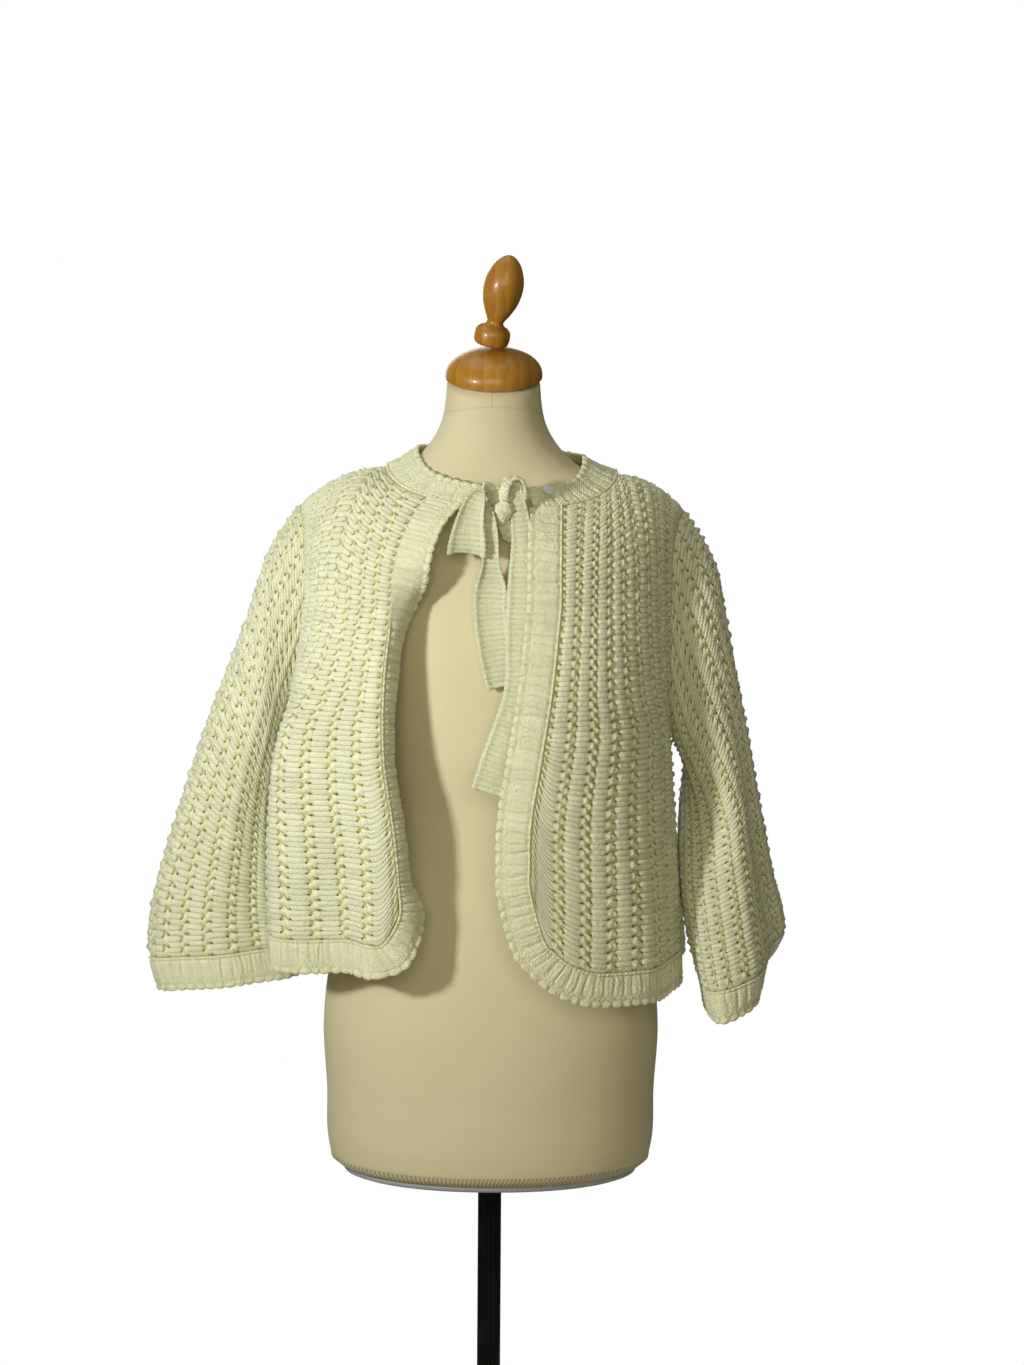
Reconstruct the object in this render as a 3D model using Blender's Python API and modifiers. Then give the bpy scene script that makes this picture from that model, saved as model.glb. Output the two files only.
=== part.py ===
"""Crochet cardigan with a tied neck, on a limbless dress form with a pole stand.

Metres, +Z up. The origin is on the floor under the pole, and the front faces -Y.
The wearer's right side is at -X, which is the left of the picture.
"""

import math

import bmesh
import bpy
import numpy as np
from mathutils import Matrix, Vector


def table(columns, *rows):
    """A small table: a name for each column, and a row for each section or fold."""
    return {name: np.array([row[i] for row in rows], float) for i, name in enumerate(columns.split())}


def read(sheet, column, at):
    """A column of a table, read at a value of its first column on a smooth curve through the rows."""
    keys = next(iter(sheet.values()))
    values = sheet[column]
    slopes = np.gradient(values, keys)
    at = np.clip(at, keys[0], keys[-1])
    low = np.clip(np.searchsorted(keys, at) - 1, 0, len(keys) - 2)
    gap = keys[low + 1] - keys[low]
    u = (at - keys[low]) / gap
    rise = u * u * (3 - 2 * u)
    bend = gap * u * (1 - u) * ((1 - u) * slopes[low] - u * slopes[low + 1])
    return values[low] * (1 - rise) + values[low + 1] * rise + bend


# The cloth: a plain inner face, with the crochet ribs raised on the outside
CLOTH_VALLEY = 0.0026
CLOTH_RIDGE = 0.0048
TRIM_THICKNESS = 0.0042
TRIM_EDGE_SHARE = 0.8  # the trim's free edge is this much thinner
SEAM_SHARE = 0.0002  # each side of a seam gives up this much, so that the pieces are 0.4 mm apart
ARMHOLE_SHARE = 0.0008  # a sleeve's head gives up more, because the armhole turns so tightly

# The cut
BAND_WIDTH = 0.034
SHOULDER_RIBS = 4
LEFT_FRONT_RIBS = 8
RIGHT_FRONT_RIBS = 9
BACK_RIBS = 22
ARMHOLE_ROWS = 4
SKIRT_ROWS = 6
YOKE_ROWS = 5

# Where the shoulders, the armholes and the yoke lie
LEFT_TIP, RIGHT_TIP = (-0.202, 0.0, 1.405), (0.198, 0.0, 1.402)
YOKE_HEIGHT = 1.310
UNDERARM_HEIGHT = 1.185
ARMHOLE_REACH = 0.037  # half the armhole's width from front to back
ROUNDNESS = 2.3  # exponent of the body's sections: 2 is an ellipse, more is squarer

# The neckline, where the panels meet the neckband, by the bearing from the front
NECK_CENTRE = (0.008, -0.002)
NECK_HALF_WIDTH = 0.121
NECK_FRONT, NECK_BACK = 0.092, 0.074
NECKLINE = table(
    "turn height",
    (-180, 1.455),
    (-135, 1.450),
    (-90, 1.444),
    (-45, 1.419),
    (0, 1.408),
    (45, 1.413),
    (90, 1.4385),
    (135, 1.446),
    (180, 1.455),
)

# The cardigan's body. left and right are the half widths in the picture
BODY = table(
    "height left right front back",
    (0.890, 0.214, 0.206, 0.166, 0.148),
    (0.940, 0.217, 0.205, 0.166, 0.144),
    (1.020, 0.220, 0.200, 0.165, 0.136),
    (1.100, 0.218, 0.193, 0.164, 0.128),
    (1.185, 0.210, 0.187, 0.160, 0.122),
    (1.250, 0.204, 0.185, 0.150, 0.118),
    (1.310, 0.199, 0.187, 0.132, 0.112),
)

# The line where each front's edging is sewn on, by height
FRONT_EDGE = table(
    "height left right",
    (0.890, -0.096, 0.036),
    (1.020, -0.094, 0.041),
    (1.090, -0.101, 0.041),
    (1.150, -0.110, 0.050),
    (1.228, -0.111, 0.062),
    (1.310, -0.103, 0.070),
)
LEFT_TOP_TURN, RIGHT_TOP_TURN = -38.0, 31.0  # where those lines meet the neckline
LEFT_EDGE_TURN, RIGHT_EDGE_TURN = -19.5, 14.0  # where the edging's own edges meet it
LEFT_CORNER, RIGHT_CORNER = 0.036, 0.080  # radii of the panels' lower corners

# The lower seam of the panels, by the bearing from the front
LOWER_SEAM = table(
    "turn height",
    (-270, 0.953),
    (-180, 0.966),
    (-90, 0.966),
    (-60, 0.966),
    (-45, 0.969),
    (-32, 0.962),
    (-18, 0.966),
    (18, 0.944),
    (45, 0.939),
    (70, 0.942),
    (90, 0.953),
)

# Soft folds of the body: they start at a height and grow towards the hem
FOLDS = table(
    "turn depth width start",
    (-262, -0.008, 12, 1.20),
    (-240, 0.009, 11, 1.12),
    (-218, -0.009, 11, 1.25),
    (-196, 0.008, 12, 1.15),
    (-172, -0.008, 10, 1.22),
    (-150, 0.010, 12, 1.17),
    (-126, -0.008, 11, 1.20),
    (-92, -0.026, 14, 1.31),
    (-62, 0.030, 14, 1.30),
    (-43, -0.011, 8, 1.12),
    (-32, 0.006, 6, 1.05),
    (48, 0.005, 9, 1.12),
    (66, -0.005, 8, 1.15),
    (88, -0.010, 10, 1.31),
    (114, 0.012, 12, 1.27),
)
FOLD_RUN = 0.17  # a fold has its full depth this far below its start

# The sleeves. outer and inner are the fold lines that the arm's tube hangs between
LEFT_SLEEVE = table(
    "run outer_x outer_y outer_z inner_x inner_y inner_z half",
    (0.00, -0.202, 0.000, 1.405, -0.205, 0.000, 1.180, 0.040),
    (0.10, -0.2290, 0.002, 1.364, -0.2220, 0.004, 1.156, 0.044),
    (0.25, -0.2600, 0.004, 1.276, -0.2290, 0.008, 1.120, 0.046),
    (0.45, -0.2985, 0.006, 1.176, -0.2310, 0.010, 1.072, 0.045),
    (0.65, -0.3300, 0.008, 1.080, -0.2260, 0.010, 1.022, 0.042),
    (0.85, -0.3570, 0.005, 0.985, -0.2180, 0.008, 0.972, 0.038),
    (1.00, -0.3610, 0.000, 0.926, -0.2110, 0.006, 0.940, 0.036),
    (1.10, -0.3530, -0.001, 0.892, -0.2070, 0.004, 0.907, 0.035),
)
RIGHT_SLEEVE = table(
    "run outer_x outer_y outer_z inner_x inner_y inner_z half",
    (0.00, 0.198, 0.000, 1.402, 0.190, 0.000, 1.180, 0.040),
    (0.10, 0.2245, 0.002, 1.358, 0.1970, 0.002, 1.158, 0.042),
    (0.25, 0.2405, 0.008, 1.289, 0.2100, -0.003, 1.124, 0.043),
    (0.45, 0.2500, 0.017, 1.197, 0.2180, -0.024, 1.078, 0.041),
    (0.65, 0.2655, 0.030, 1.108, 0.2190, -0.062, 1.020, 0.038),
    (0.85, 0.2865, 0.040, 1.015, 0.2265, -0.090, 0.955, 0.035),
    (1.00, 0.3020, 0.040, 0.955, 0.2345, -0.100, 0.912, 0.031),
    (1.10, 0.2870, 0.030, 0.932, 0.2405, -0.103, 0.880, 0.024),
)
SLEEVE_ROWS = (0.0, 0.12, 0.24, 0.38, 0.52, 0.64, 0.75, 0.85, 0.93, 1.0)
CUFF_ROWS = (1.0, 1.05, 1.1)
SLEEVE_BLEND = 0.12  # the armhole's shape turns into the tube's over this run
SLEEVE_FALL = np.array([0.18, 0.0, -1.0])  # the way the sleeves hang
LEFT_SLEEVE_FOLDS = table(
    "turn depth width start",
    (60, -0.006, 24, 0.15),
    (118, -0.008, 20, 0.15),
    (250, -0.007, 26, 0.15),
    (300, 0.005, 24, 0.15),
)
RIGHT_SLEEVE_FOLDS = table(
    "turn depth width start",
    (75, -0.013, 24, 0.15),
    (128, 0.006, 20, 0.10),
    (270, 0.014, 38, 0.48),
    (310, -0.004, 24, 0.30),
)
SLEEVE_FOLD_RUN = 0.4  # a sleeve's fold has its full depth this far below its start


def body_ring(height, turn):
    """Points of the body's inner face at a height, by the bearing from the front in degrees."""
    radians = np.radians(turn)
    across, ahead = np.sin(radians), np.cos(radians)
    width = np.where(across < 0, read(BODY, "left", height), read(BODY, "right", height))
    depth = np.where(ahead > 0, read(BODY, "front", height), read(BODY, "back", height))
    power = 2 / ROUNDNESS
    x = width * np.sign(across) * np.abs(across) ** power
    y = -depth * np.sign(ahead) * np.abs(ahead) ** power
    push = fold_depth(height, turn)
    return np.stack([x + push * across, y - push * ahead, np.full_like(x, height)], axis=-1)


def fold_depth(height, turn):
    """How far the folds stand out of the body's plain section."""
    push = np.zeros_like(turn, float)
    for centre, depth, width, start in zip(*FOLDS.values()):
        away = (turn - centre + 180) % 360 - 180
        grown = np.clip((start - height) / FOLD_RUN, 0, 1)
        push += depth * grown * grown * (3 - 2 * grown) * np.exp(-((away / width) ** 2))
    return push


def armhole_reach(height):
    """Half the armhole's width at a height: nothing under the arm, full at the yoke."""
    share = np.clip((height - UNDERARM_HEIGHT) / (YOKE_HEIGHT - UNDERARM_HEIGHT), 0, 1)
    return ARMHOLE_REACH * math.sin(math.pi / 2 * share) ** 0.5


def spaced(points, count):
    """count + 1 points at even steps along a line of points."""
    steps = np.linalg.norm(np.diff(points, axis=0), axis=1)
    run = np.concatenate([[0], np.cumsum(steps)])
    at = np.linspace(0, run[-1], count + 1)
    return np.stack([np.interp(at, run, points[:, axis]) for axis in range(3)], axis=1)


def cut_line(points, along, start, end):
    """The stretch of a line between two values of a quantity that rises along it."""
    places = np.interp([start, end], along, np.arange(len(points)))
    at = np.linspace(places[0], places[1], len(points))
    return np.stack([np.interp(at, np.arange(len(points)), points[:, axis]) for axis in range(3)], axis=1)


def front_section(side, height, count):
    """A front's section at a height, from the side or the armhole to the edging's seam."""
    turns = np.linspace(90, 4, 260) * side
    points = body_ring(height, turns)
    reach = armhole_reach(height)
    first = np.interp(reach, -points[:, 1], np.arange(len(points)))
    edge = read(FRONT_EDGE, "left" if side < 0 else "right", height)
    last = np.interp(-abs(edge), -np.abs(points[60:, 0]), np.arange(60, len(points)))
    return spaced(cut_line(points, np.arange(len(points)), first, last), count)


def back_section(height, count):
    """The back's section at a height, from the left armhole or side round to the right one."""
    points = body_ring(height, np.linspace(-90, -270, 480))
    reach = armhole_reach(height)
    half = len(points) // 2
    first = np.interp(reach, points[:half, 1], np.arange(half))
    last = len(points) - 1 - np.interp(reach, points[:half:-1, 1], np.arange(half - 1))
    return spaced(cut_line(points, np.arange(len(points)), first, last), count)


def neckline(turn):
    """A point of the neckline by its bearing from the front; 180 is the back of the neck."""
    radians = math.radians(turn)
    depth = NECK_FRONT if math.cos(radians) > 0 else NECK_BACK
    x = NECK_CENTRE[0] + NECK_HALF_WIDTH * math.sin(radians)
    y = NECK_CENTRE[1] - depth * math.cos(radians)
    return np.array([x, y, read(NECKLINE, "height", (turn + 180) % 360 - 180)])


def shoulder_seam(side):
    """The shoulder seam from the shoulder's tip to the neckline, rising in a soft curve."""
    tip = np.array(LEFT_TIP if side < 0 else RIGHT_TIP)
    neck = neckline(90 * side)
    share = np.linspace(0, 1, 2 * SHOULDER_RIBS + 1)
    points = tip + np.outer(share, neck - tip)
    points[:, 2] = tip[2] + (neck[2] - tip[2]) * (1 - (1 - share) ** 2)
    return points


def yoke_point(low, top, share, tilt):
    """A point of the yoke between the chest and the shoulder, on a quarter of an ellipse."""
    angle = math.radians(tilt) * share
    full = math.radians(tilt)
    inward = (1 - math.cos(angle)) / (1 - math.cos(full))
    upward = math.sin(angle) / math.sin(full)
    return np.array([*(low[:2] + (top[:2] - low[:2]) * inward), low[2] + (top[2] - low[2]) * upward])


SHOULDER_TILT, FRONT_TILT, BACK_TILT = 86.0, 56.0, 62.0  # how far the yoke leans over at its top


def yoke(low, top, tilts):
    """The yoke's rows, from its top to the chest."""
    shares = np.linspace(1, 0, YOKE_ROWS + 1)
    return [
        np.array([yoke_point(low[j], top[j], share, tilts[j]) for j in range(len(top))])
        for share in shares[:-1]
    ]


def front_grid(side):
    """A front's inner face: rows from the shoulder to the lower seam, columns from the side to the edge."""
    ribs = LEFT_FRONT_RIBS if side < 0 else RIGHT_FRONT_RIBS
    columns = 2 * ribs
    seam = shoulder_seam(side)
    top_turn = LEFT_TOP_TURN if side < 0 else RIGHT_TOP_TURN
    neck = [neckline(turn) for turn in np.linspace(90 * side, top_turn, columns - 2 * SHOULDER_RIBS + 1)]
    top = np.concatenate([seam, neck[1:]])
    away = np.clip((np.arange(columns + 1) - 2 * SHOULDER_RIBS) / (columns - 2 * SHOULDER_RIBS), 0, 1)
    tilts = SHOULDER_TILT + (FRONT_TILT - SHOULDER_TILT) * away
    low = front_section(side, YOKE_HEIGHT, columns)
    rows = yoke(low, top, tilts)
    for k in range(ARMHOLE_ROWS):
        height = YOKE_HEIGHT + (UNDERARM_HEIGHT - YOKE_HEIGHT) * k / ARMHOLE_ROWS
        rows.append(front_section(side, height, columns))
    bottoms = [front_bottom(side, j, columns) for j in range(columns + 1)]
    for k in range(SKIRT_ROWS + 1):
        heights = [UNDERARM_HEIGHT + (bottom - UNDERARM_HEIGHT) * k / SKIRT_ROWS for bottom in bottoms]
        rows.append(np.array([front_section(side, z, columns)[j] for j, z in enumerate(heights)]))
    return np.array(rows)


def front_bottom(side, column, columns):
    """The height where a front's column ends: the lower seam, which rises round the corner."""
    section = front_section(side, 1.0, columns)
    turn = math.degrees(math.atan2(section[column, 0], -section[column, 1]))
    plain = read(LOWER_SEAM, "height", turn)
    radius = LEFT_CORNER if side < 0 else RIGHT_CORNER
    from_edge = np.linalg.norm(np.diff(section[column:], axis=0), axis=1).sum()
    short = max(0.0, radius - from_edge)
    return plain + radius - math.sqrt(radius**2 - short**2)


def back_grid():
    """The back's inner face: rows from the shoulders to the lower seam, columns from left to right."""
    columns = 2 * BACK_RIBS
    left, right = shoulder_seam(-1), shoulder_seam(1)
    middle = columns - 4 * SHOULDER_RIBS
    neck = [neckline(turn) for turn in np.linspace(-90, -180, middle // 2 + 1)]
    neck += [neckline(turn) for turn in np.linspace(180, 90, middle // 2 + 1)][1:]
    top = np.concatenate([left, neck[1:-1], right[::-1]])
    from_seam = np.minimum(np.arange(columns + 1), columns - np.arange(columns + 1)) - 2 * SHOULDER_RIBS
    away = np.clip(from_seam / 6, 0, 1)
    tilts = SHOULDER_TILT + (BACK_TILT - SHOULDER_TILT) * away
    rows = yoke(back_section(YOKE_HEIGHT, columns), top, tilts)
    for k in range(ARMHOLE_ROWS):
        height = YOKE_HEIGHT + (UNDERARM_HEIGHT - YOKE_HEIGHT) * k / ARMHOLE_ROWS
        rows.append(back_section(height, columns))
    turns = np.linspace(-90, -270, columns + 1)
    bottoms = read(LOWER_SEAM, "height", turns)
    bottoms[-1] = read(LOWER_SEAM, "height", 90.0)
    for k in range(SKIRT_ROWS + 1):
        heights = UNDERARM_HEIGHT + (bottoms - UNDERARM_HEIGHT) * k / SKIRT_ROWS
        rows.append(np.array([back_section(z, columns)[j] for j, z in enumerate(heights)]))
    return np.array(rows)


def armhole_ring(front, back, side):
    """The armhole's points from the shoulder tip down the front and up the back, with their midpoints."""
    rows = YOKE_ROWS + ARMHOLE_ROWS + 1
    down = front[:rows, 0]
    up = back[:rows, 0 if side < 0 else -1][::-1]
    loop = np.concatenate([down, up[1:-1]])
    ring = np.empty((2 * len(loop), 3))
    ring[0::2] = loop
    ring[1::2] = (loop + np.roll(loop, -1, axis=0)) / 2
    return ring


def sleeve_ring(sheet, run, side, count):
    """A ring of a sleeve: a flattened tube between its outer and inner fold lines, with soft folds."""
    outer = np.array([read(sheet, name, run) for name in ("outer_x", "outer_y", "outer_z")])
    inner = np.array([read(sheet, name, run) for name in ("inner_x", "inner_y", "inner_z")])
    long = (outer - inner) / 2
    flat = np.cross(SLEEVE_FALL * (side, 1, 1), long) * side
    flat /= np.linalg.norm(flat)
    turn = np.arange(count) * 360 / count
    folds = LEFT_SLEEVE_FOLDS if side < 0 else RIGHT_SLEEVE_FOLDS
    push = np.zeros(count)
    for place, depth, width, start in zip(*folds.values()):
        away = (turn - place + 180) % 360 - 180
        grown = min(1, max(0, (run - start) / SLEEVE_FOLD_RUN))
        push += depth * grown * np.exp(-((away / width) ** 2))
    radians = np.radians(turn)
    half = read(sheet, "half", run) * np.sin(radians) + push * np.sign(np.sin(radians))
    return (outer + inner) / 2 + np.outer(np.cos(radians), long) + np.outer(half, flat)


def sleeve_grid(sheet, runs, side, armhole):
    """Rings from the armhole down; the first rings turn from the armhole's shape into the tube's."""
    rings = []
    for run in runs:
        share = min(1.0, run / SLEEVE_BLEND)
        share = share * share * (3 - 2 * share)
        rings.append(armhole * (1 - share) + sleeve_ring(sheet, run, side, len(armhole)) * share)
    return np.array(rings)


def edging_path(left, back, right):
    """The panels' free edge: down the left front, round the hem and up the right front."""
    return np.concatenate([
        left[:, -1],
        left[-1, -2::-1],
        back[-1, 1:],
        right[-1, 1:],
        right[-2::-1, -1],
    ])


EDGING_CURL = table(
    "height left right",
    (0.890, 0, 0),
    (0.965, 10, 0),
    (1.010, 76, 8),
    (1.080, 94, 12),
    (1.240, 92, 10),
    (1.305, 76, 9),
    (1.345, 20, 8),
    (1.420, 0, 0),
)


def edging_grid(path, normals, edge_rows):
    """The crochet edging: three lines of points, from the panels' edge outwards."""
    tangents = np.gradient(path, axis=0)
    tangents[1:-1] = tangents[:-2] + tangents[1:-1] * 2 + tangents[2:]
    outward = np.cross(normals, tangents)
    outward /= np.linalg.norm(outward, axis=1)[:, None]
    count = len(path)
    lines = [path, path.copy(), path.copy()]
    for k in range(count):
        on_left, on_right = k < edge_rows + 2, k > count - edge_rows - 5
        name = "left" if on_left else "right"
        curl = math.radians(read(EDGING_CURL, name, path[k, 2])) if on_left or on_right else 0.0
        for line, share in ((1, 0.5), (2, 1.0)):
            bend = curl * (0.6 + 0.4 * share)
            way = outward[k] * math.cos(bend) - normals[k] * math.sin(bend)
            lines[line][k] = path[k] + way * BAND_WIDTH * share
    for k, start, turn in ((0, LEFT_TOP_TURN, LEFT_EDGE_TURN), (-1, RIGHT_TOP_TURN, RIGHT_EDGE_TURN)):
        lines[1][k] = neckline((start + turn) / 2)
        lines[2][k] = neckline(turn)
    return np.array(lines)


NECKBAND_RISE = table(
    "turn inward upward",
    (-180, 0.012, 0.024),
    (-135, 0.019, 0.018),
    (-90, 0.033, 0.020),
    (-45, 0.024, 0.020),
    (0, 0.017, 0.019),
    (45, 0.024, 0.018),
    (90, 0.036, 0.016),
    (135, 0.020, 0.015),
    (180, 0.012, 0.024),
)
NECKBAND_LEFT_END, NECKBAND_RIGHT_END = 0.0, 15.5


def neckband_grid(left, back, right):
    """The neckband: its lower line is the panels' neckline, and it leans in towards the neck."""
    shoulder = 2 * SHOULDER_RIBS
    turns_left = [NECKBAND_LEFT_END, LEFT_EDGE_TURN, (LEFT_TOP_TURN + LEFT_EDGE_TURN) / 2, LEFT_TOP_TURN]
    turns_right = [RIGHT_TOP_TURN, (RIGHT_TOP_TURN + RIGHT_EDGE_TURN) / 2, NECKBAND_RIGHT_END]
    lower = [neckline(turn) for turn in turns_left[:-1]]
    lower += [*left[0, :shoulder - 1:-1]]
    lower += [*back[0, shoulder + 1:-shoulder - 1]]
    lower += [*right[0, shoulder:]]
    lower += [neckline(turn) for turn in turns_right[1:]]
    lower = np.array(lower)
    centre = np.array([*NECK_CENTRE, 0])
    rise = []
    for point in lower:
        off = point - centre
        turn = math.degrees(math.atan2(off[0] / NECK_HALF_WIDTH, -off[1] / NECK_FRONT))
        flat = np.array([off[0], off[1], 0]) / math.hypot(off[0], off[1])
        rise.append(
            np.array([0, 0, 1]) * read(NECKBAND_RISE, "upward", turn)
            - flat * read(NECKBAND_RISE, "inward", turn)
        )
    rise = np.array(rise)
    bulge = np.cross(np.gradient(lower, axis=0), rise)
    bulge /= np.linalg.norm(bulge, axis=1)[:, None]
    return np.array([lower, lower + rise * 0.5 + bulge * 0.0015, lower + rise])


def face_normals(grid, closed):
    """The normals of a grid's faces, summed at its points."""
    rows, columns = grid.shape[:2]
    sums = np.zeros_like(grid)
    for i in range(rows - 1):
        for j in range(columns if closed else columns - 1):
            k = (j + 1) % columns
            a, b, c, d = grid[i, j], grid[i, k], grid[i + 1, k], grid[i + 1, j]
            normal = np.cross(c - a, d - b)
            for at in ((i, j), (i, k), (i + 1, k), (i + 1, j)):
                sums[at] += normal
    return sums


def shared_normals(pieces):
    """One outward direction for each place, halfway between the sleeves and all that meets them there."""
    places = {}
    keys = {}
    for name, (grid, closed, flip) in pieces.items():
        sums = face_normals(grid, closed) * (-1 if flip else 1)
        sums /= np.linalg.norm(sums, axis=-1)[..., None]
        keys[name] = [tuple(place) for place in np.round(grid * 5000).astype(int).reshape(-1, 3)]
        of_sleeve = int(name.startswith("sleeve"))
        for place, normal in zip(keys[name], sums.reshape(-1, 3)):
            places.setdefault(place, np.zeros((2, 3)))[of_sleeve] += normal
    found = {}
    for name, (grid, closed, flip) in pieces.items():
        halves = np.array([places[place] for place in keys[name]])
        halves /= np.maximum(np.linalg.norm(halves, axis=2), 1e-9)[..., None]
        flat = halves.sum(axis=1)
        flat /= np.linalg.norm(flat, axis=1)[:, None]
        found[name] = flat.reshape(grid.shape)
    return found


def drawn_in(grid, closed, head_share):
    """The grid with its borders drawn in a little, which parts it from its neighbours at the seams."""
    made = grid.copy()

    def draw(edge, beside, share=SEAM_SHARE):
        step = beside - edge
        return edge + step / np.linalg.norm(step, axis=-1)[..., None] * share

    made[0] = draw(made[0], grid[1], head_share)
    made[-1] = draw(made[-1], grid[-2])
    if not closed:
        made[:, 0] = draw(made[:, 0], made[:, 1])
        made[:, -1] = draw(made[:, -1], made[:, -2])
    return made


# Finishes from the photograph: colour, roughness and metallic value
YARN = ((0.83, 0.83, 0.60), 0.85, 0.0)
JERSEY = ((0.70, 0.63, 0.44), 0.8, 0.0)
FOAM = ((0.32, 0.32, 0.32), 0.7, 0.0)
WOOD = ((0.50, 0.24, 0.05), 0.25, 0.0)
BLACK_METAL = ((0.012, 0.012, 0.012), 0.3, 0.4)
PEARL = ((0.80, 0.78, 0.76), 0.25, 0.0)


def principled(name, finish):
    """A plain Principled material."""
    colour, roughness, metallic = finish
    made = bpy.data.materials.new(name)
    made.use_nodes = True
    shader = made.node_tree.nodes["Principled BSDF"]
    shader.inputs["Base Color"].default_value = (*colour, 1)
    shader.inputs["Roughness"].default_value = roughness
    shader.inputs["Metallic"].default_value = metallic
    return made


def new_object(name, mesh, finish, collection):
    """A named object in the collection, shaded smooth but for its sharp edges."""
    mesh.materials.append(principled(name, finish))
    mesh.shade_smooth()
    mesh.set_sharp_from_angle(angle=math.radians(40))
    made = bpy.data.objects.new(name, mesh)
    collection.objects.link(made)
    return made


def wall(name, inner, outer, closed, finish, collection):
    """A cloth wall: a Blender grid laid on the inner points, then extruded to the outer points."""
    rows, columns = inner.shape[:2]
    if closed:
        inner = np.concatenate([inner, inner[:, :1]], axis=1)
        outer = np.concatenate([outer, outer[:, :1]], axis=1)
        columns += 1
    shape = bmesh.new()
    bmesh.ops.create_grid(shape, x_segments=columns - 1, y_segments=rows - 1, size=1)
    lifted = shape.verts.layers.float_vector.new("lifted")
    for vertex in shape.verts:
        j = round((vertex.co.x + 1) / 2 * (columns - 1))
        i = round((vertex.co.y + 1) / 2 * (rows - 1))
        vertex[lifted] = Vector(outer[i, j])
        vertex.co = Vector(inner[i, j])
    if closed:
        bmesh.ops.remove_doubles(shape, verts=shape.verts, dist=1e-6)
    raised = bmesh.ops.extrude_face_region(shape, geom=shape.faces[:], use_keep_orig=True)
    for item in raised["geom"]:
        if isinstance(item, bmesh.types.BMVert):
            item.co = item[lifted]
    shape.verts.layers.float_vector.remove(lifted)
    bmesh.ops.recalc_face_normals(shape, faces=shape.faces)
    mesh = bpy.data.meshes.new(name)
    shape.to_mesh(mesh)
    shape.free()
    return new_object(name, mesh, finish, collection)


def rib_heights(name, rows, columns):
    """The wall's thickness: ridges on the odd columns, valleys between, and thin at the seams."""
    heights = np.full((rows, columns), CLOTH_VALLEY)
    heights[:, 1::2] = CLOTH_RIDGE
    heights[0, 1::2] = heights[-1, 1::2] = (CLOTH_VALLEY + CLOTH_RIDGE) / 2
    if name.startswith("sleeve"):
        heights[0] = CLOTH_VALLEY
        heights[1, 1::2] = (CLOTH_VALLEY + CLOTH_RIDGE) / 2
    else:
        heights[:, 1] = CLOTH_VALLEY
    if name == "back":
        heights[:, -2] = CLOTH_VALLEY
    return heights


def build_cardigan(collection):
    """The two fronts, back, sleeves, edging, neckband and cuffs, which share their seams' points."""
    left, right, back = front_grid(-1), front_grid(1), back_grid()
    armhole_left = armhole_ring(left, back, -1)
    armhole_right = armhole_ring(right, back, 1)
    sleeve_left = sleeve_grid(LEFT_SLEEVE, SLEEVE_ROWS, -1, armhole_left)
    sleeve_right = sleeve_grid(RIGHT_SLEEVE, SLEEVE_ROWS, 1, armhole_right)
    cuff_left = sleeve_grid(LEFT_SLEEVE, CUFF_ROWS, -1, armhole_left)
    cuff_right = sleeve_grid(RIGHT_SLEEVE, CUFF_ROWS, 1, armhole_right)
    neckband = neckband_grid(left, back, right)
    pieces = {
        "front_left": (left, False, True),
        "front_right": (right, False, False),
        "back": (back, False, False),
        "sleeve_left": (sleeve_left, True, True),
        "sleeve_right": (sleeve_right, True, False),
        "cuff_left": (cuff_left, True, True),
        "cuff_right": (cuff_right, True, False),
        "neckband": (neckband, False, True),
    }
    normals = shared_normals(pieces)
    path = edging_path(left, back, right)
    path_normals = edging_path(normals["front_left"], normals["back"], normals["front_right"])
    pieces["edging"] = (edging_grid(path, path_normals, len(left) - 1), False, False)
    normals = shared_normals(pieces)
    for name in ("sleeve_left", "sleeve_right"):
        first = normals[name][0]
        first[1::2] = (first[0::2] + np.roll(first[0::2], -1, axis=0)) / 2
    for name, (grid, closed, _) in pieces.items():
        rows, columns = grid.shape[:2]
        if name in ("edging", "neckband") or name.startswith("cuff"):
            heights = np.full((rows, columns), TRIM_THICKNESS)
            heights[0] = CLOTH_VALLEY
            heights[-1] *= TRIM_EDGE_SHARE
        else:
            heights = rib_heights(name, rows, columns)
        share = ARMHOLE_SHARE if name.startswith("sleeve") else SEAM_SHARE
        inner = drawn_in(grid, closed, share)
        outer = drawn_in(grid + normals[name] * heights[..., None], closed, share)
        wall(name, inner, outer, closed, YARN, collection)


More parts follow.
